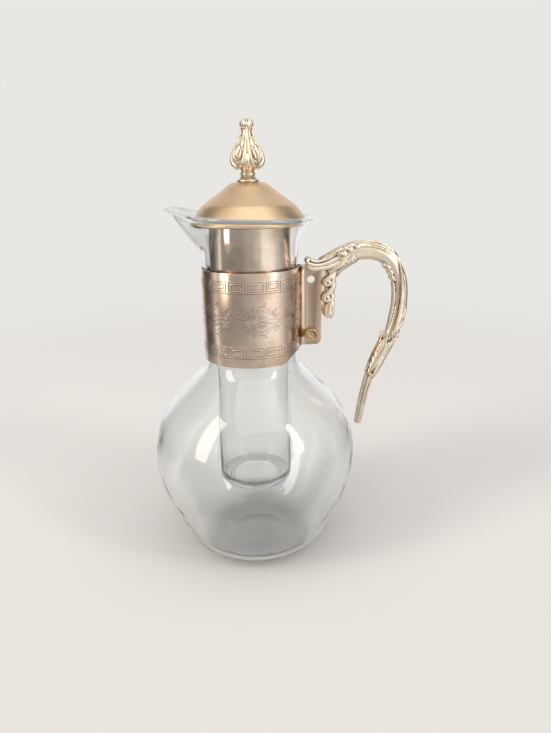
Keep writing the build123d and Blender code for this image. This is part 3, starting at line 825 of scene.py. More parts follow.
# The copy is the painted shadow that lies beside each painted highlight.
groove_shadow_copy = threads.copy()
groove_shadow_copy.data = threads.data.copy()
bpy.context.collection.objects.link(groove_shadow_copy)
groove_shadow_copy.name = groove_shadow_copy.data.name = "engraved_groove_shadows"
for lines, shift, finish in ((threads, 0.0, highlight_thread_silver), (groove_shadow_copy, GROOVE_SHIFT, shadow_thread_silver)):
    points = read_points(lines) / MM
    angle = radians(STRIP_START) + (points[:, 0] + shift) / BAND_OUT
    distance = BAND_OUT + THREAD_PRESS * points[:, 1]
    rolled = np.stack([distance * np.cos(angle), distance * np.sin(angle), points[:, 2] - shift], axis=1)
    write_points(lines, rolled * MM)
    face_outwards(lines)
    hand_over(lines, "carafe", "silver_plate", finish, sharp=60)

# %% [markdown]
# ## Strokes on a bent handle
# The handle's leaves lie on a bent, tapering bar. To draw on it, a place is named by three numbers: how
# far along the bar (its station), the angle round it, and the height above its skin. Angle 0 is the
# outside of the bend, 90 is the front and 180 the inside. One function turns these into a point.

# %% The bar's stations
STATIONS = [
    (54.0, 189.8, 5.6), (58.5, 193.0, 5.9), (63.5, 194.8, 6.2), (70.0, 195.4, 6.3), (76.5, 194.4, 6.1),
    (82.3, 191.4, 5.8), (86.8, 186.4, 5.4), (89.8, 180.0, 5.0), (91.4, 172.8, 4.75), (91.7, 165.0, 4.65),
    (91.0, 157.0, 4.6), (89.2, 149.0, 4.4), (86.6, 141.5, 4.2), (83.3, 134.5, 4.1), (79.9, 127.5, 4.0),
    (76.9, 120.6, 3.7), (74.9, 115.5, 3.3), (73.0, 109.5, 2.75), (71.3, 102.5, 2.65), (70.0, 95.5, 2.55),
    (68.9, 88.5, 2.4), (67.6, 82.4, 2.2),
]
BAR_STEPS = 20
bar_line = smooth_line(STATIONS, BAR_STEPS)
print("bar is", len(STATIONS), "stations long and", 2 * max(r for _, _, r in STATIONS), "mm thick at most")


# %% Name a place on the bar
def bar_at(station):
    """Centre, direction and radius of the bar at a station, which may lie between two."""
    last = len(bar_line) - 1
    place = min(max(station * BAR_STEPS, 0), last - 0.001)
    first = int(place)
    a, b = np.array(bar_line[first]), np.array(bar_line[first + 1])
    x, z, radius = a + (b - a) * (place - first)
    run = (np.array(bar_line[min(first + 4, last)]) - np.array(bar_line[max(first - 3, 0)]))[:2]
    dx, dz = run / hypot(*run)
    return x, z, dx, dz, radius


def on_bar(station, turn, lift, radius):
    """A stroke's point on the bar's skin."""
    x, z, dx, dz, bar_radius = bar_at(station)
    out = (bar_radius + lift) * cos(radians(turn))
    side = (bar_radius + lift) * sin(radians(turn))
    return (x - dz * out, -side, z + dx * out, radius)


def bar_stroke(*places):
    """A stroke through several places, each a station, an angle, a height and a radius."""
    return [on_bar(*place) for place in places]


def along_bar(stations, turn, lift, radius):
    """A stroke that follows the bar at a fixed angle, and is thinner and lower at both ends."""
    ends = (stations[0], stations[-1])
    return [on_bar(s, turn, lift - 0.3, 0.5 * radius) if s in ends else on_bar(s, turn, lift, radius)
            for s in stations]


# How much of the bar's radius is leaves: little on the arch, more beside the long leaf on the grip
LEAF_DEPTH = [0.25] * 6 + [0.45, 0.8, 0.85, 0.85, 0.8, 0.7, 0.45] + [0.3] * 3 + [0.45] * 6
bar_strokes = [[(x, 0, z, radius - depth) for (x, z, radius), depth in zip(STATIONS, LEAF_DEPTH)]]
print("front of the bar at station 5:", [round(float(c), 1) for c in on_bar(5, 90, 0, 1)[:3]])

# %% [markdown]
# ## Leaves of the handle
# An acanthus leaf is a midrib with lobes that sweep forward and curl at their ends. The deep notch that is
# left between two curls is the "eye" that the casting shows as a dark dot. Short leaves lie on the arch
# and run out into smooth ridges, and one long leaf wraps the grip.

# %% A helper for an acanthus leaf
LOBE_CURL = [(0.0, 0.1, -0.1, 0.55), (0.3, 0.45, 0.0, 0.95), (0.8, 0.85, 0.1, 1.1), (1.1, 1.0, 0.0, 0.95),
             (1.25, 0.85, -0.1, 0.7), (1.15, 0.72, -0.2, 0.4)]
LOBE_VEIN = [(0.15, 0.15, 0.3, 0.35), (0.6, 0.55, 0.75, 0.4), (0.95, 0.8, 0.7, 0.3)]


def acanthus(first, last, width_first, width_last, lobes, rib=0, height=-0.35, size=0.85):
    """Strokes for one leaf along the bar: a midrib and curling lobes on both sides. Widths are in degrees."""
    step = (last - first) / lobes
    midrib = [first - 0.2, first + step, (first + last) / 2, last, last + 0.6 * step]
    strokes = [along_bar(midrib, rib, height, 0.8 * size)]
    for side in (-1, 1):
        for i in range(lobes):
            at = first + step * i
            width = side * (width_first + (width_last - width_first) * i / lobes)
            for line in (LOBE_CURL, LOBE_VEIN):
                strokes.append([on_bar(at + along * step, rib + across * width, height + up, radius * size)
                                for along, across, up, radius in line])
    return strokes


print("a leaf of three lobes takes", len(acanthus(0, 2, 20, 14, lobes=3)), "strokes")

# %% Draw the leaves on the arch and the long leaf on the grip
bar_strokes += acanthus(0.0, 2.1, 74, 56, lobes=3, height=-0.5)
for side in (-1, 1):
    bar_strokes += acanthus(0.0, 1.7, 20, 14, lobes=3, rib=side * 150, height=-0.2)
    bar_strokes += acanthus(5.3, 7.2, 20, 14, lobes=3, rib=side * 152, height=-0.25, size=0.8)
    bar_strokes.append(along_bar([2.0, 3.0, 4.0, 5.0, 6.0, 7.0], side * 44, -0.3, 0.55))
    bar_strokes.append(along_bar([2.2, 3.0, 3.8, 4.6, 5.3], side * 62, -0.3, 0.45))
    bar_strokes.append(along_bar([2.4, 3.4, 4.4, 5.4, 6.4, 7.2], side * 22, -0.3, 0.5))
    bar_strokes.append(along_bar([6.6, 7.8, 9.2, 10.6, 11.8], side * 154, -0.35, 0.9))
    leaf_edge = [(5.2, 26), (6.0, 48), (6.9, 66), (8.0, 80), (9.4, 86), (10.7, 84), (11.6, 76), (12.3, 62)]
    bar_strokes.append([on_bar(s, side * turn, -0.3, 0.5 + 0.3 * (6.5 < s < 12)) for s, turn in leaf_edge])
for turn in range(-66, 67, 22):
    bar_strokes.append(bar_stroke((5.6 + abs(turn) / 50, turn, -1.0, 0.6), (7.6, turn, -0.75, 1.0),
                                  (9.6, turn, -0.6, 1.0), (11.2, turn * 0.95, -0.6, 1.0),
                                  (12.3, turn * 0.85, -0.8, 0.7)))
bar_strokes += acanthus(9.2, 12.2, 46, 62, lobes=3, height=-0.05, size=0.9)
bar_strokes.append(along_bar([6.4, 7.6, 9.2, 10.8, 12.0], 180, -1.0, 1.4))
print(len(bar_strokes), "strokes so far")

# %% [markdown]
# ## Cup and tail of the handle
# Below the grip, a cup of six pointed petals clasps the bar and a ring closes it. The tail under the ring
# is fluted and ends in a rounded tip.

# %% Draw the cup, its ring and the fluted tail
PETALS = 6
for turn in range(0, 360, 360 // PETALS):
    bar_strokes.append(bar_stroke((15.9, turn, -0.2, 0.8), (15.0, turn, 0.0, 1.0), (13.8, turn, 0.1, 1.0),
                                  (12.8, turn, 0.3, 0.95), (12.2, turn, 0.9, 0.8), (11.85, turn, 1.9, 0.45)))
    for side in (-1, 1):
        bar_strokes.append(bar_stroke((15.7, turn + 9 * side, 0.0, 0.6), (14.8, turn + 18 * side, 0.15, 0.7),
                                      (13.5, turn + 24 * side, 0.2, 0.75), (12.7, turn + 19 * side, 0.3, 0.7),
                                      (12.15, turn + 7 * side, 0.9, 0.5)))
        for vein in (13.7, 14.2, 14.7, 15.2):
            bar_strokes.append(bar_stroke((vein + 0.5, turn + 3 * side, 0.75, 0.3),
                                          (vein, turn + 21 * side, 0.6, 0.36)))
bar_strokes.append([on_bar(15.85, turn, -0.75, 1.15) for turn in range(0, 390, 30)])
FLUTE = ((16.1, 0.7), (16.8, 0.85), (18.0, 0.8), (19.3, 0.8), (20.5, 0.85), (20.95, 0.8))
for turn in range(30, 390, 60):
    bar_strokes.append([on_bar(station, turn, -0.5, radius) for station, radius in FLUTE])
TAIL_TIP = ((-1.6, 1.9), (-0.2, 2.2), (0.5, 1.7), (0.9, 0.9))
x, z, dx, dz, _ = bar_at(20.9)
bar_strokes.append([(x + dx * beyond, 0, z + dz * beyond, radius) for beyond, radius in TAIL_TIP])
print(len(bar_strokes), "strokes on the bar")

# %% [markdown]
# ## The handle's root
# Beside the ears the handle grows out of a short column with two curled volutes and a hanging leaf. A
# leaf reaches back over the ears and rolls up at its end. Both are the same on the front and the back, so
# each stroke is drawn once and mirrored in Y. All strands stay clear of the sheet ears, which are 4.6 mm
# thick together and reach up to 187 mm.

# %% Describe a volute and its mirror image
def both_sides(strand):
    """A strand and its mirror image in Y."""
    return [strand, [(x, -y, z, radius) for x, y, z, radius in strand]]


def volute(x, z):
    """A comma-shaped volute whose head is at (x, z), with a button at its middle."""
    return [(x + 5.4, 2.2, z + 9.0, 1.4), (x + 3.9, 2.9, z + 5.2, 1.75), (x + 1.5, 3.4, z + 2.3, 1.85),
            (x - 0.9, 3.6, z + 0.3, 1.7), (x - 1.1, 3.7, z - 1.5, 1.5), (x + 0.3, 3.8, z - 2.2, 1.35),
            (x + 1.6, 3.9, z - 1.2, 1.25), (x + 1.1, 4.1, z - 0.1, 1.15), (x + 0.4, 4.3, z - 0.5, 1.1)]


print("a volute is one strand of", len(volute(0, 0)), "points")

# %% Draw the column, the volutes and the leaf over the ears
root = [
    [(41.5, 0, 189.6, 1.4), (46.0, 0, 191.2, 2.3), (50.0, 0, 192.6, 3.1), (55.0, 0, 194.2, 4.2),
     (61.0, 0, 195.4, 5.2)],
    [(46.5, 0, 188.8, 1.6), (50.5, 0, 190.2, 3.7), (56.0, 0, 192.6, 5.0), (63.0, 0, 194.4, 5.8)],
    [(49.8, 0, 179.6, 2.8), (51.6, 0, 183.3, 3.5), (55.3, 0, 187.6, 4.6), (61.5, 0, 192.6, 5.6)],
    [(50.6, 0, 187.5, 3.8), (49.3, 0, 181.0, 3.3), (48.6, 0, 174.0, 3.1), (48.2, 0, 167.0, 2.9),
     (48.2, 0, 160.0, 2.4), (48.6, 0, 156.0, 1.5)],
]
strands = [
    [(51.0, 1.7, 187.0, 3.2), (49.8, 2.0, 181.0, 2.6), (49.3, 2.2, 174.0, 2.2), (48.8, 2.2, 167.0, 2.0),
     (48.8, 1.9, 160.5, 1.8), (48.8, 1.5, 156.5, 1.2)],
    [(57.0, 3.0, 190.0, 2.4), (51.0, 3.7, 187.0, 1.8), (46.0, 4.0, 185.6, 1.5), (41.0, 4.05, 184.9, 1.45),
     (37.2, 4.0, 184.9, 1.5), (35.0, 3.9, 186.2, 1.4), (35.6, 3.9, 187.7, 1.1), (36.6, 3.9, 187.6, 0.9)],
    [(56.0, 2.6, 192.2, 2.2), (50.0, 3.2, 189.4, 1.7), (45.0, 3.6, 187.6, 1.35), (40.5, 3.8, 186.9, 1.3),
     (36.8, 3.8, 187.4, 1.4), (34.3, 3.6, 188.8, 1.4), (34.4, 3.2, 190.5, 1.2), (35.8, 3.0, 190.9, 0.9)],
    [(55.0, 1.2, 194.0, 2.2), (49.0, 1.5, 191.3, 1.8), (44.5, 1.6, 189.4, 1.4), (40.5, 1.6, 188.7, 1.25),
     (37.3, 1.6, 189.3, 1.4), (35.0, 1.5, 190.4, 1.2), (36.2, 1.3, 191.3, 0.9)],
    [(56.0, 3.9, 188.0, 1.5), (51.4, 4.3, 185.2, 1.3), (48.4, 4.3, 183.4, 1.1), (46.9, 4.2, 182.9, 0.9)],
    [(47.8, 2.2, 183.0, 1.2), (47.2, 2.3, 178.0, 1.6), (47.0, 2.3, 172.6, 1.5), (46.9, 2.3, 167.0, 1.5),
     (47.2, 2.2, 162.5, 1.3)],
    volute(46.0, 177.3),
    [(50.4, 1.8, 183.4, 1.6), (48.6, 2.4, 180.0, 1.9), (46.6, 2.7, 177.6, 2.2), (46.2, 2.6, 176.2, 2.0)],
    volute(45.6, 167.7),
    [(50.0, 1.8, 173.8, 1.6), (48.2, 2.4, 170.4, 1.9), (46.2, 2.7, 168.0, 2.2), (45.9, 2.6, 166.6, 2.0)],
    [(50.4, 2.4, 168.6, 1.3), (48.6, 2.9, 164.6, 2.0), (47.7, 3.0, 160.8, 2.3), (47.5, 2.9, 157.6, 2.4),
     (47.9, 2.5, 155.6, 1.9)],
    [(48.6, 3.6, 165.6, 0.7), (46.0, 4.2, 161.4, 0.95), (45.5, 4.1, 157.6, 0.95), (46.9, 3.7, 154.4, 0.7)],
    [(50.4, 3.2, 165.2, 0.8), (49.9, 3.9, 161.0, 0.95), (49.6, 3.9, 157.2, 0.95), (48.6, 3.5, 154.2, 0.7)],
]
for strand in strands:
    root += both_sides(strand)
print(len(root), "strands in the root")

# %% [markdown]
# ## One casting from many strands
# A casting has no seams between its leaves. A voxel remesh melts all the strands into one closed skin, and
# a light smoothing softens it as plating and polish do. Afterwards each point's depth is measured: the
# mesh is relaxed in a copy, and where the relaxed skin lies above the real one, the point is in a hollow.

# %% Helpers that melt strands together and measure their hollows
def melt(obj, voxel, rounds):
    """Turns overlapping strands into one closed, lightly smoothed skin. The voxel is in millimetres."""
    apply_modifier(obj, "REMESH", mode="VOXEL", voxel_size=voxel * MM, adaptivity=0.0)
    apply_modifier(obj, "SMOOTH", factor=0.5, iterations=rounds)
    return obj


def measure_hollows(obj, rounds, full_depth):
    """Stores how deep each point lies below the relaxed skin. A full_depth, in millimetres, counts as 1."""
    mesh = obj.data
    start = read_points(obj)
    edges = np.zeros(2 * len(mesh.edges), int)
    mesh.edges.foreach_get("vertices", edges)
    a, b = edges.reshape(-1, 2).T
    normals = np.zeros(3 * len(mesh.vertices))
    mesh.vertices.foreach_get("normal", normals)
    count = np.bincount(a, minlength=len(start)) + np.bincount(b, minlength=len(start))
    relaxed = start.copy()
    for _ in range(rounds):
        total = np.stack([np.bincount(a, relaxed[b, k], len(start)) + np.bincount(b, relaxed[a, k], len(start))
                          for k in range(3)], axis=1)
        relaxed = total / np.maximum(count, 1)[:, None]
    depth = ((relaxed - start) * normals.reshape(-1, 3)).sum(axis=1) / (full_depth * MM)
    mesh.attributes.new("hollow", "FLOAT", "POINT").data.foreach_set("value",
                                                                     np.clip(depth, -1, 1).astype(np.float32))
    print(obj.name, "hollows:", int((depth > 0.3).sum()), "of", len(depth), "points")


# %% [markdown]
# Voxels of 0.36 mm keep the handle's lobes apart and round the joints between its strands, as molten metal
# does.

# %% Cast the handle
handle = join([draw_strokes("bar_strokes", bar_strokes), draw_strokes("root_strands", root)], "cast_handle")
melt(handle, voxel=0.36, rounds=2)
measure_hollows(handle, rounds=14, full_depth=0.22)

# %% [markdown]
# The flat tang goes between the ears and carries both holes. It is a plate with eased edges, and it joins
# the casting behind the column. Its right part sinks into the column, where nobody sees it.

# %% Add the tang
TANG_THICKNESS = 2.9
tang_edge = [(31.0, 138.6), (31.0, 186.8), (43.4, 186.8), (46.5, 185.0), (46.5, 157.0), (43.0, 152.0),
             (41.9, 141.5), (40.0, 138.6), (31.0, 138.6)]
tang = draw_outline("tang", tang_edge)
edit(tang)
bpy.ops.mesh.remove_doubles(threshold=0.01 * MM)
bpy.ops.mesh.edge_face_add()
bpy.ops.mesh.extrude_region_move(TRANSFORM_OT_translate={"value": (0, TANG_THICKNESS * MM, 0)})
bpy.ops.mesh.select_all(action="SELECT")
bpy.ops.transform.translate(value=(0, -TANG_THICKNESS / 2 * MM, 0))
bpy.ops.mesh.normals_make_consistent(inside=False)
leave_edit()
drill_ears(tang)
apply_modifier(tang, "BEVEL", width=0.3 * MM, segments=2, limit_method="ANGLE", angle_limit=radians(40))
handle = join([handle, tang], "cast_handle")
hand_over(handle, "carafe", "cast_metal", cast_metal, "handle", sharp=60)

# %% [markdown]
# ## The finial
# The finial is a cast bud on a stepped foot. Four double ribs run down from a ribbed cap and end in small
# leaves. In each of the four panels between them, a bold loop holds a palmette. A turned core carries it
# all. As on the handle, a place is named by its angle, its height and how far it stands off the core.

# %% Turn the finial's core
BUD_BASE = 235.544
bud_skin = smooth_line([(3.9, 6.0), (5.4, 7.4), (7.6, 9.8), (8.2, 12.8), (7.3, 16.6), (5.4, 20.6), (3.7, 24.8),
                        (2.6, 28.6)], 4)
core_outline = [(0, 0.0), (6.0, 0.0), *arc_line((5.8, 0.75), 0.75, -80, 80, 5), (5.4, 1.7), (4.7, 2.6),
                (4.0, 3.5), *arc_line((3.9, 4.4), 0.75, -70, 70, 4), (3.7, 5.5), *bud_skin, (2.6, 29.2),
                (3.5, 29.9), (3.75, 30.9), (3.4, 32.1), (2.5, 33.3), (1.3, 34.1), (0, 34.3)]
core = spin_outline("bud_core", [(r, BUD_BASE + z) for r, z in core_outline], steps=64)
print("bud's core is", round(2 * max(r for r, _ in bud_skin), 1), "mm wide")


def bud_radius(height):
    """The core's radius at a height above the dome."""
    for (r0, z0), (r1, z1) in zip(bud_skin, bud_skin[1:]):
        if z0 <= height <= z1:
            return r0 + (r1 - r0) * (height - z0) / (z1 - z0)
    return bud_skin[0][0] if height < bud_skin[0][1] else bud_skin[-1][0]


def on_bud(turn, height, lift, radius):
    """A stroke's point on the core."""
    reach = bud_radius(height) + lift
    return (reach * cos(radians(turn)), reach * sin(radians(turn)), BUD_BASE + height, radius)


# %% [markdown]
# The double ribs are at 0, 90, 180 and 270 degrees. A loop's strand goes down one side of its panel, round
# the bottom and up the other. The deep crescent under the palmette is the darkest place of the finial. One
# quarter is drawn and turned in steps of 90 degrees. The cap's ribs come in steps of 45 degrees, and the
# beads under it in steps of 22.5.

# %% Draw the finial's ribs, loops, palmettes, cap and beads
LOOP = [(-37, 27.6, 0.1, 0.45), (-36, 24.0, 0.3, 0.7), (-35, 19.0, 0.45, 0.95), (-34, 14.6, 0.6, 1.2),
        (-30, 11.2, 0.75, 1.3), (-17, 9.1, 0.8, 1.25), (0, 8.6, 0.8, 1.2)]
PALMETTE = [[(0, 12.0, 0.0, 0.5), (0, 14.4, 0.5, 1.2), (0, 17.6, 0.4, 1.0), (0, 21.0, 0.1, 0.4)],
            [(5, 11.9, 0.1, 0.5), (14, 13.2, 0.5, 0.95), (17, 15.8, 0.5, 0.85), (13, 18.2, 0.2, 0.45)],
            [(4, 18.4, 0.1, 0.4), (11, 20.4, 0.4, 0.65), (12, 22.6, 0.3, 0.5), (7, 24.4, 0.1, 0.3)],
            [(16, 18.6, 0.0, 0.35), (21, 20.8, 0.3, 0.5), (20, 23.4, 0.1, 0.3)]]
DIAMOND = [[(0, 15.6, 0.9, 0.4), (0, 13.4, 1.0, 0.75), (0, 11.2, 1.0, 1.0), (0, 9.0, 1.0, 1.0),
            (0, 7.0, 0.7, 0.5)],
           [(3, 14.6, 0.9, 0.35), (9, 11.6, 0.95, 0.7), (6, 8.6, 0.9, 0.7), (1, 7.0, 0.6, 0.4)]]
DOUBLE_RIB = ((9, 28.9, 0.5), (8, 25, 0.6), (6, 20, 0.65), (4, 16, 0.6), (3, 14.5, 0.4))
CAP_RIB = ((3.4, 30.0, 0.5), (3.55, 31.2, 0.7), (2.7, 32.8, 0.7), (1.2, 33.9, 0.5))
BEAD_PLACE, BEAD = 3.1, ((28.5, 0.3), (28.95, 0.62), (29.4, 0.3))
bud_strokes = []
for quarter_turn in range(0, 360, 90):
    panel = quarter_turn + 45
    loop = LOOP + [(-turn, *rest) for turn, *rest in reversed(LOOP[:-1])]
    bud_strokes.append([on_bud(panel + turn, *rest) for turn, *rest in loop])
    for side in (-1, 1):
        bud_strokes.append([on_bud(quarter_turn + side * turn, height, 0.25, radius)
                            for turn, height, radius in DOUBLE_RIB])
        for line in PALMETTE:
            bud_strokes.append([on_bud(panel + side * turn, *rest) for turn, *rest in line])
        for line in DIAMOND:
            bud_strokes.append([on_bud(quarter_turn + side * turn, *rest) for turn, *rest in line])
for turn in range(0, 360, 45):
    a = radians(turn)
    bud_strokes.append([(r * cos(a), r * sin(a), BUD_BASE + z, radius) for r, z, radius in CAP_RIB])
    for turned in (a, a + radians(22.5)):
        bud_strokes.append([(BEAD_PLACE * cos(turned), BEAD_PLACE * sin(turned), BUD_BASE + z, radius)
                            for z, radius in BEAD])
finial = join([core, draw_strokes("bud_strokes", bud_strokes, sides=2)], "cast_finial")
melt(finial, voxel=0.2, rounds=3)
measure_hollows(finial, rounds=16, full_depth=0.28)
hand_over(finial, "lid", "cast_metal", cast_metal, "finial", sharp=60)

# %% [markdown]
# ## The clamp screw and nut
# A slotted screw with a flat, rimmed head goes through the ears' lower holes into a hexagon nut. The screw
# is turned about Z like the rest, its slot is sawn with a box, and it is laid along Y. Its thread is real:
# rings 0.7 mm apart, as on an M4 screw. On so small a part, rings look the same as a helix.

# %% Turn the screw and saw its slot
HEAD, FRONT_EAR, PITCH, CREST, ROOT, TURNS = 2.4, 2.3, 0.7, 2.0, 1.68, 11
SLOT_WIDTH, SLOT_DEPTH, SLOT_TURN = 1.1, 1.6, -55
thread = [(r, start - PITCH * i) for i in range(TURNS) for r, start in ((CREST, -0.2), (ROOT, -0.55))]
screw_outline = [(0, 1.75), (2.5, 1.7), (2.9, 1.8), (3.15, 2.25), (3.45, HEAD), (3.8, 2.25), (4.0, 1.9),
                 (4.0, 0.25), (3.8, 0.0), *thread, (1.5, -8.5), (0, -8.6)]
screw = spin_outline("clamp_screw_brass", screw_outline, steps=48)
saw = add(bpy.ops.mesh.primitive_cube_add, "saw", size=MM, location=(0, 0, 1.85 * MM),
          scale=(9.0, SLOT_WIDTH, SLOT_DEPTH))
bpy.ops.object.transform_apply(location=False, rotation=False, scale=True)
cut_away(screw, saw)
apply_modifier(screw, "BEVEL", width=0.12 * MM, segments=2, limit_method="ANGLE", angle_limit=radians(50))
turn_slot = Matrix.Rotation(radians(SLOT_TURN), 4, "Z")
lay_down = Matrix.Translation(Vector((HOLE_X, -FRONT_EAR, LOWER_HOLE)) * MM) @ Matrix.Rotation(pi / 2, 4, "X")
screw.data.transform(lay_down @ turn_slot)
measure_hollows(screw, rounds=3, full_depth=0.3)
hand_over(screw, "carafe", "screw_brass", screw_brass, "clamp_screw")

# %% [markdown]
# The nut is a six-sided prism whose corners were chamfered on both faces and whose hole has the screw in it.

# %% Make the nut
NUT_CORNERS, NUT_HEIGHT, NUT_HOLE = 4.04, 3.0, 2.02
nut_middle = FRONT_EAR + NUT_HEIGHT / 2
nut = rod_along_y("hexagon_nut", nut_middle, LOWER_HOLE, NUT_CORNERS, NUT_HEIGHT, sides=6)
bpy.ops.object.transform_apply(location=True, rotation=True, scale=True)
cut_away(nut, rod_along_y("tap", nut_middle, LOWER_HOLE, NUT_HOLE, depth=8))
apply_modifier(nut, "BEVEL", width=0.35 * MM, segments=3, limit_method="ANGLE", angle_limit=radians(40))
measure_hollows(nut, rounds=2, full_depth=0.3)
hand_over(nut, "carafe", "screw_brass", screw_brass, "clamp_nut")

# %% [markdown]
# ## The studio
# The room is pale and plain to look at. Metal and glass need something to mirror, though, so for them the
# walls have soft bright and dim stretches: a pale wall behind the object, a dark card on each side of
# that, and two tall windows in front. A ramp over the compass direction holds them.

# %% Describe the room's walls
PALE = "#E9E7E4"
STRETCHES = [(0.0, 0.6), (0.07, 0.42), (0.215, 0.42), (0.245, 1.3), (0.268, 0.4), (0.3, 0.1), (0.36, 0.1),
             (0.41, 0.9), (0.5, 0.95), (0.6, 0.9), (0.65, 0.12), (0.69, 0.12), (0.74, 0.5), (0.79, 0.85),
             (0.84, 1.35), (0.9, 1.35), (0.94, 0.85), (1.0, 0.6)]


def walls_around(tree, direction):
    """The brightness of the room in a direction, going once round from -Y over -X, +Y and +X."""
    parts = add_node(tree, "SeparateXYZ", {"Vector": direction})
    azimuth = add_node(tree, "Math", {0: (parts, "X"), 1: (parts, "Y")}, operation="ARCTAN2")
    once_round = add_node(tree, "MapRange", {"Value": (azimuth, "Value"), "From Min": -pi, "From Max": pi})
    walls = add_node(tree, "ValToRGB", {"Fac": (once_round, "Result")})
    walls.color_ramp.interpolation = "EASE"
    for i, (where, strength) in enumerate(STRETCHES):
        stop = walls.color_ramp.elements[i] if i < 2 else walls.color_ramp.elements.new(where)
        stop.position = where
        stop.color = (strength, strength, strength, 1.0)
    return parts, walls


print("the walls have", len(STRETCHES), "stretches")

# %% [markdown]
# The floor is a wide sheet of pale paper. Close to the carafe it takes its shadow, and further out it
# turns into the same flat tone as the air behind it, so no horizon shows. In a mirror the far floor
# repeats the walls instead, as a polished studio floor does. What only mirrors see is told apart by Light
# Path's Glossy Depth, which is still counted where the light goes on through glass, as it does between
# the sleeve and the neck.

# %% Lay the floor
# The paper turns into the tone of the air between two distances in metres, nearer for what mirrors see
FLOOR_SIZE = 12.0
FADE_START, MIRROR_START, FADE_END, MIRROR_END = 0.22, 0.12, 1.0, 0.4
floor = add(bpy.ops.mesh.primitive_plane_add, "studio_floor", size=FLOOR_SIZE, location=(0, 0, -0.05 * MM))
floor_paper, tree = empty_material("matt_backdrop_paper")
ray = add_node(tree, "LightPath")
place = add_node(tree, "TexCoord")
spread = add_node(tree, "VectorMath", {0: (place, "Object")}, operation="LENGTH")
in_mirror = add_node(tree, "Math", {0: (ray, "Glossy Depth"), 1: 1.0}, operation="MINIMUM")
start = add_node(tree, "MapRange", {"Value": (in_mirror, "Value"), "To Min": FADE_START,
                                    "To Max": MIRROR_START})
reach = add_node(tree, "MapRange", {"Value": (in_mirror, "Value"), "To Min": FADE_END, "To Max": MIRROR_END})
far = add_node(tree, "MapRange", {"Value": (spread, "Value"), "From Min": (start, "Result"),
                                  "From Max": (reach, "Result")}, interpolation_type="SMOOTHSTEP")
paper = add_node(tree, "BsdfDiffuse", {"Color": colour(PALE), "Roughness": 0.9})
glow = add_node(tree, "Emission", {"Color": colour(PALE), "Strength": 1.0})
sheen = add_node(tree, "Emission", {"Color": (walls_around(tree, (place, "Object"))[1], "Color"),
                                    "Strength": 1.0})
distance_look = add_node(tree, "MixShader", {0: (in_mirror, "Value"), 1: (glow, "Emission"),
                                             2: (sheen, "Emission")})
mixed = add_node(tree, "MixShader", {0: (far, "Result"), 1: (paper, "BSDF"), 2: (distance_look, "Shader")})
add_node(tree, "OutputMaterial", {"Surface": (mixed, "Shader")})
floor.data.materials.append(floor_paper)
print("floor:", FLOOR_SIZE, "m wide, all air beyond", FADE_END, "m")

# %% [markdown]
# The world is the air and the walls. Mirrors see the walls with one more window, high up in front, which
# gives the castings their bright edges, and a plain grey ceiling. Through glass the walls show faintly,
# and an even fill lights everything dull.

# %% Put a high window and a ceiling on the walls
# Heights are those of a direction's end on a ball of radius 1: the high window's sill, and the cove where
# the walls turn into the ceiling
SILL, COVE = (0.15, 0.4), (0.62, 0.97)
WINDOW, CEILING = (1.0, 0.98, 0.95, 1.0), (0.68, 0.68, 0.68, 1.0)
FILL_STRENGTH, WALLS_THROUGH_GLASS = 0.66, 0.35
room = bpy.data.worlds.new("studio_room")
bpy.context.scene.world = room
room.use_nodes = True
tree = room.node_tree
tree.nodes.clear()
ray = add_node(tree, "LightPath")
place = add_node(tree, "TexCoord")
parts, walls = walls_around(tree, (place, "Generated"))
in_front = add_node(tree, "MapRange", {"Value": (parts, "Y"), "From Min": -0.45, "From Max": -0.75})
window = add_node(tree, "MapRange", {"Value": (parts, "Z"), "From Min": SILL[0], "From Max": SILL[1],
                                     "To Max": (in_front, "Result")}, interpolation_type="SMOOTHSTEP")
walls = add_node(tree, "Mix", {MIX_FACTOR: (window, "Result"), MIX_A: (walls, "Color"),
                               MIX_B: WINDOW}, data_type="RGBA")
up = add_node(tree, "MapRange", {"Value": (parts, "Z"), "From Min": COVE[0], "From Max": COVE[1]})
mirrored = add_node(tree, "Mix", {MIX_FACTOR: (up, "Result"), MIX_A: (walls, MIX_COLOUR),
                                  MIX_B: CEILING}, data_type="RGBA")
through = add_node(tree, "Mix", {MIX_FACTOR: WALLS_THROUGH_GLASS, MIX_A: colour(PALE),
                                 MIX_B: (mirrored, MIX_COLOUR)}, data_type="RGBA")
print("world:", room.name)

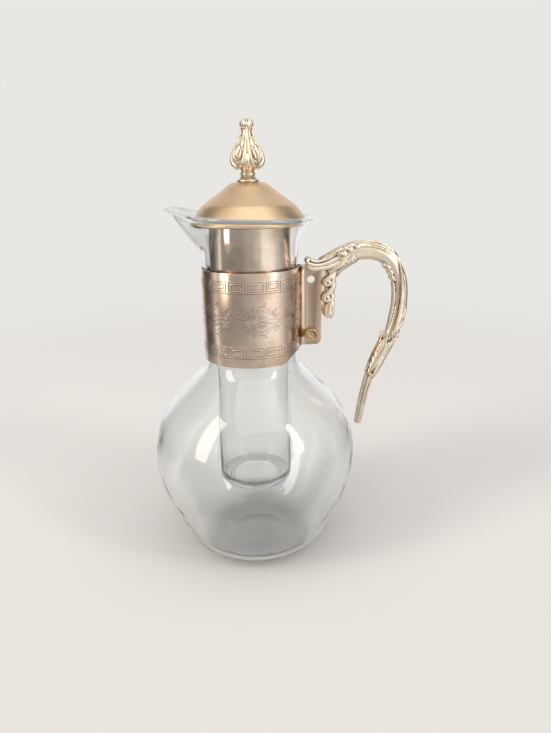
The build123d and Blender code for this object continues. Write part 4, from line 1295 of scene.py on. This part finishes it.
# %% Choose what the camera, mirrors, glass and dull surfaces see
seen = add_node(tree, "Background", {"Color": colour(PALE), "Strength": 1.0})
glassy = add_node(tree, "Background", {"Color": (through, MIX_COLOUR), "Strength": 1.0})
mirror = add_node(tree, "Background", {"Color": (mirrored, MIX_COLOUR), "Strength": 1.0})
fill = add_node(tree, "Background", {"Color": colour("#FFFFFF"), "Strength": FILL_STRENGTH})
in_mirror = add_node(tree, "Math", {0: (ray, "Glossy Depth"), 1: 1.0}, operation="MINIMUM")
behind = add_node(tree, "MixShader", {0: (ray, "Is Transmission Ray"), 1: (fill, "Background"),
                                      2: (glassy, "Background")})
unseen = add_node(tree, "MixShader", {0: (in_mirror, "Value"), 1: (behind, "Shader"),
                                      2: (mirror, "Background")})
whole = add_node(tree, "MixShader", {0: (ray, "Is Camera Ray"), 1: (unseen, "Shader"), 2: (seen, "Background")})
add_node(tree, "OutputWorld", {"Surface": (whole, "Shader")})
print("even fill:", FILL_STRENGTH)

# %% [markdown]
# Three soft panels light the object: a tall one at the left front, a narrow one at the right and a broad
# one above. Their light is the plain level at which a colour renders about as it is written.

# %% Hang the lights
OBJECT_MIDDLE = 0.13


def soft_panel(name, place, size, power, tone):
    """A rectangular lamp that faces the middle of the object."""
    lamp = add(bpy.ops.object.light_add, name, type="AREA", location=place)
    lamp.data.shape = "RECTANGLE"
    lamp.data.size, lamp.data.size_y = size
    lamp.data.energy = power
    lamp.data.color = colour(tone)[:3]
    aim = Vector((0, 0, OBJECT_MIDDLE)) - Vector(place)
    lamp.rotation_euler = aim.to_track_quat("-Z", "Y").to_euler()
    print(name, "gives", power, "W")


soft_panel("left_front_panel", (-0.8, -0.42, 0.55), (0.3, 0.95), 3.4, "#FFF6EA")
soft_panel("right_strip", (0.8, -0.6, 0.65), (0.16, 0.7), 1.8, "#FFF8F0")
soft_panel("top_panel", (0.05, -0.27, 0.9), (0.8, 0.8), 1.6, "#FFFFFF")

# %% [markdown]
# ## The camera
# The photograph was taken from close by, slightly above: the camera is 36 cm from the axis and 24 cm up,
# looks down 18 degrees and is tilted by one. Its picture is 733 pixels tall.

# %% Place the camera and finish
FOCAL_PIXELS, PICTURE_HEIGHT, SENSOR = 598.0, 733.0, 36.0
EYE, PAN, DOWN, TILT = (-0.4, -362.8, 240.7), -2.3, 18.0, -0.92
bpy.ops.object.camera_add()
camera = bpy.context.active_object
camera.data.sensor_width = SENSOR
camera.data.lens = SENSOR * FOCAL_PIXELS / PICTURE_HEIGHT
camera.matrix_world = (Matrix.Translation(Vector(EYE) * MM) @ Matrix.Rotation(radians(PAN), 4, "Z")
                       @ Matrix.Rotation(radians(90 - DOWN), 4, "X") @ Matrix.Rotation(radians(TILT), 4, "Z"))
camera.data.clip_start = 0.01
bpy.context.scene.camera = camera
bpy.context.scene.view_settings.view_transform = "Standard"
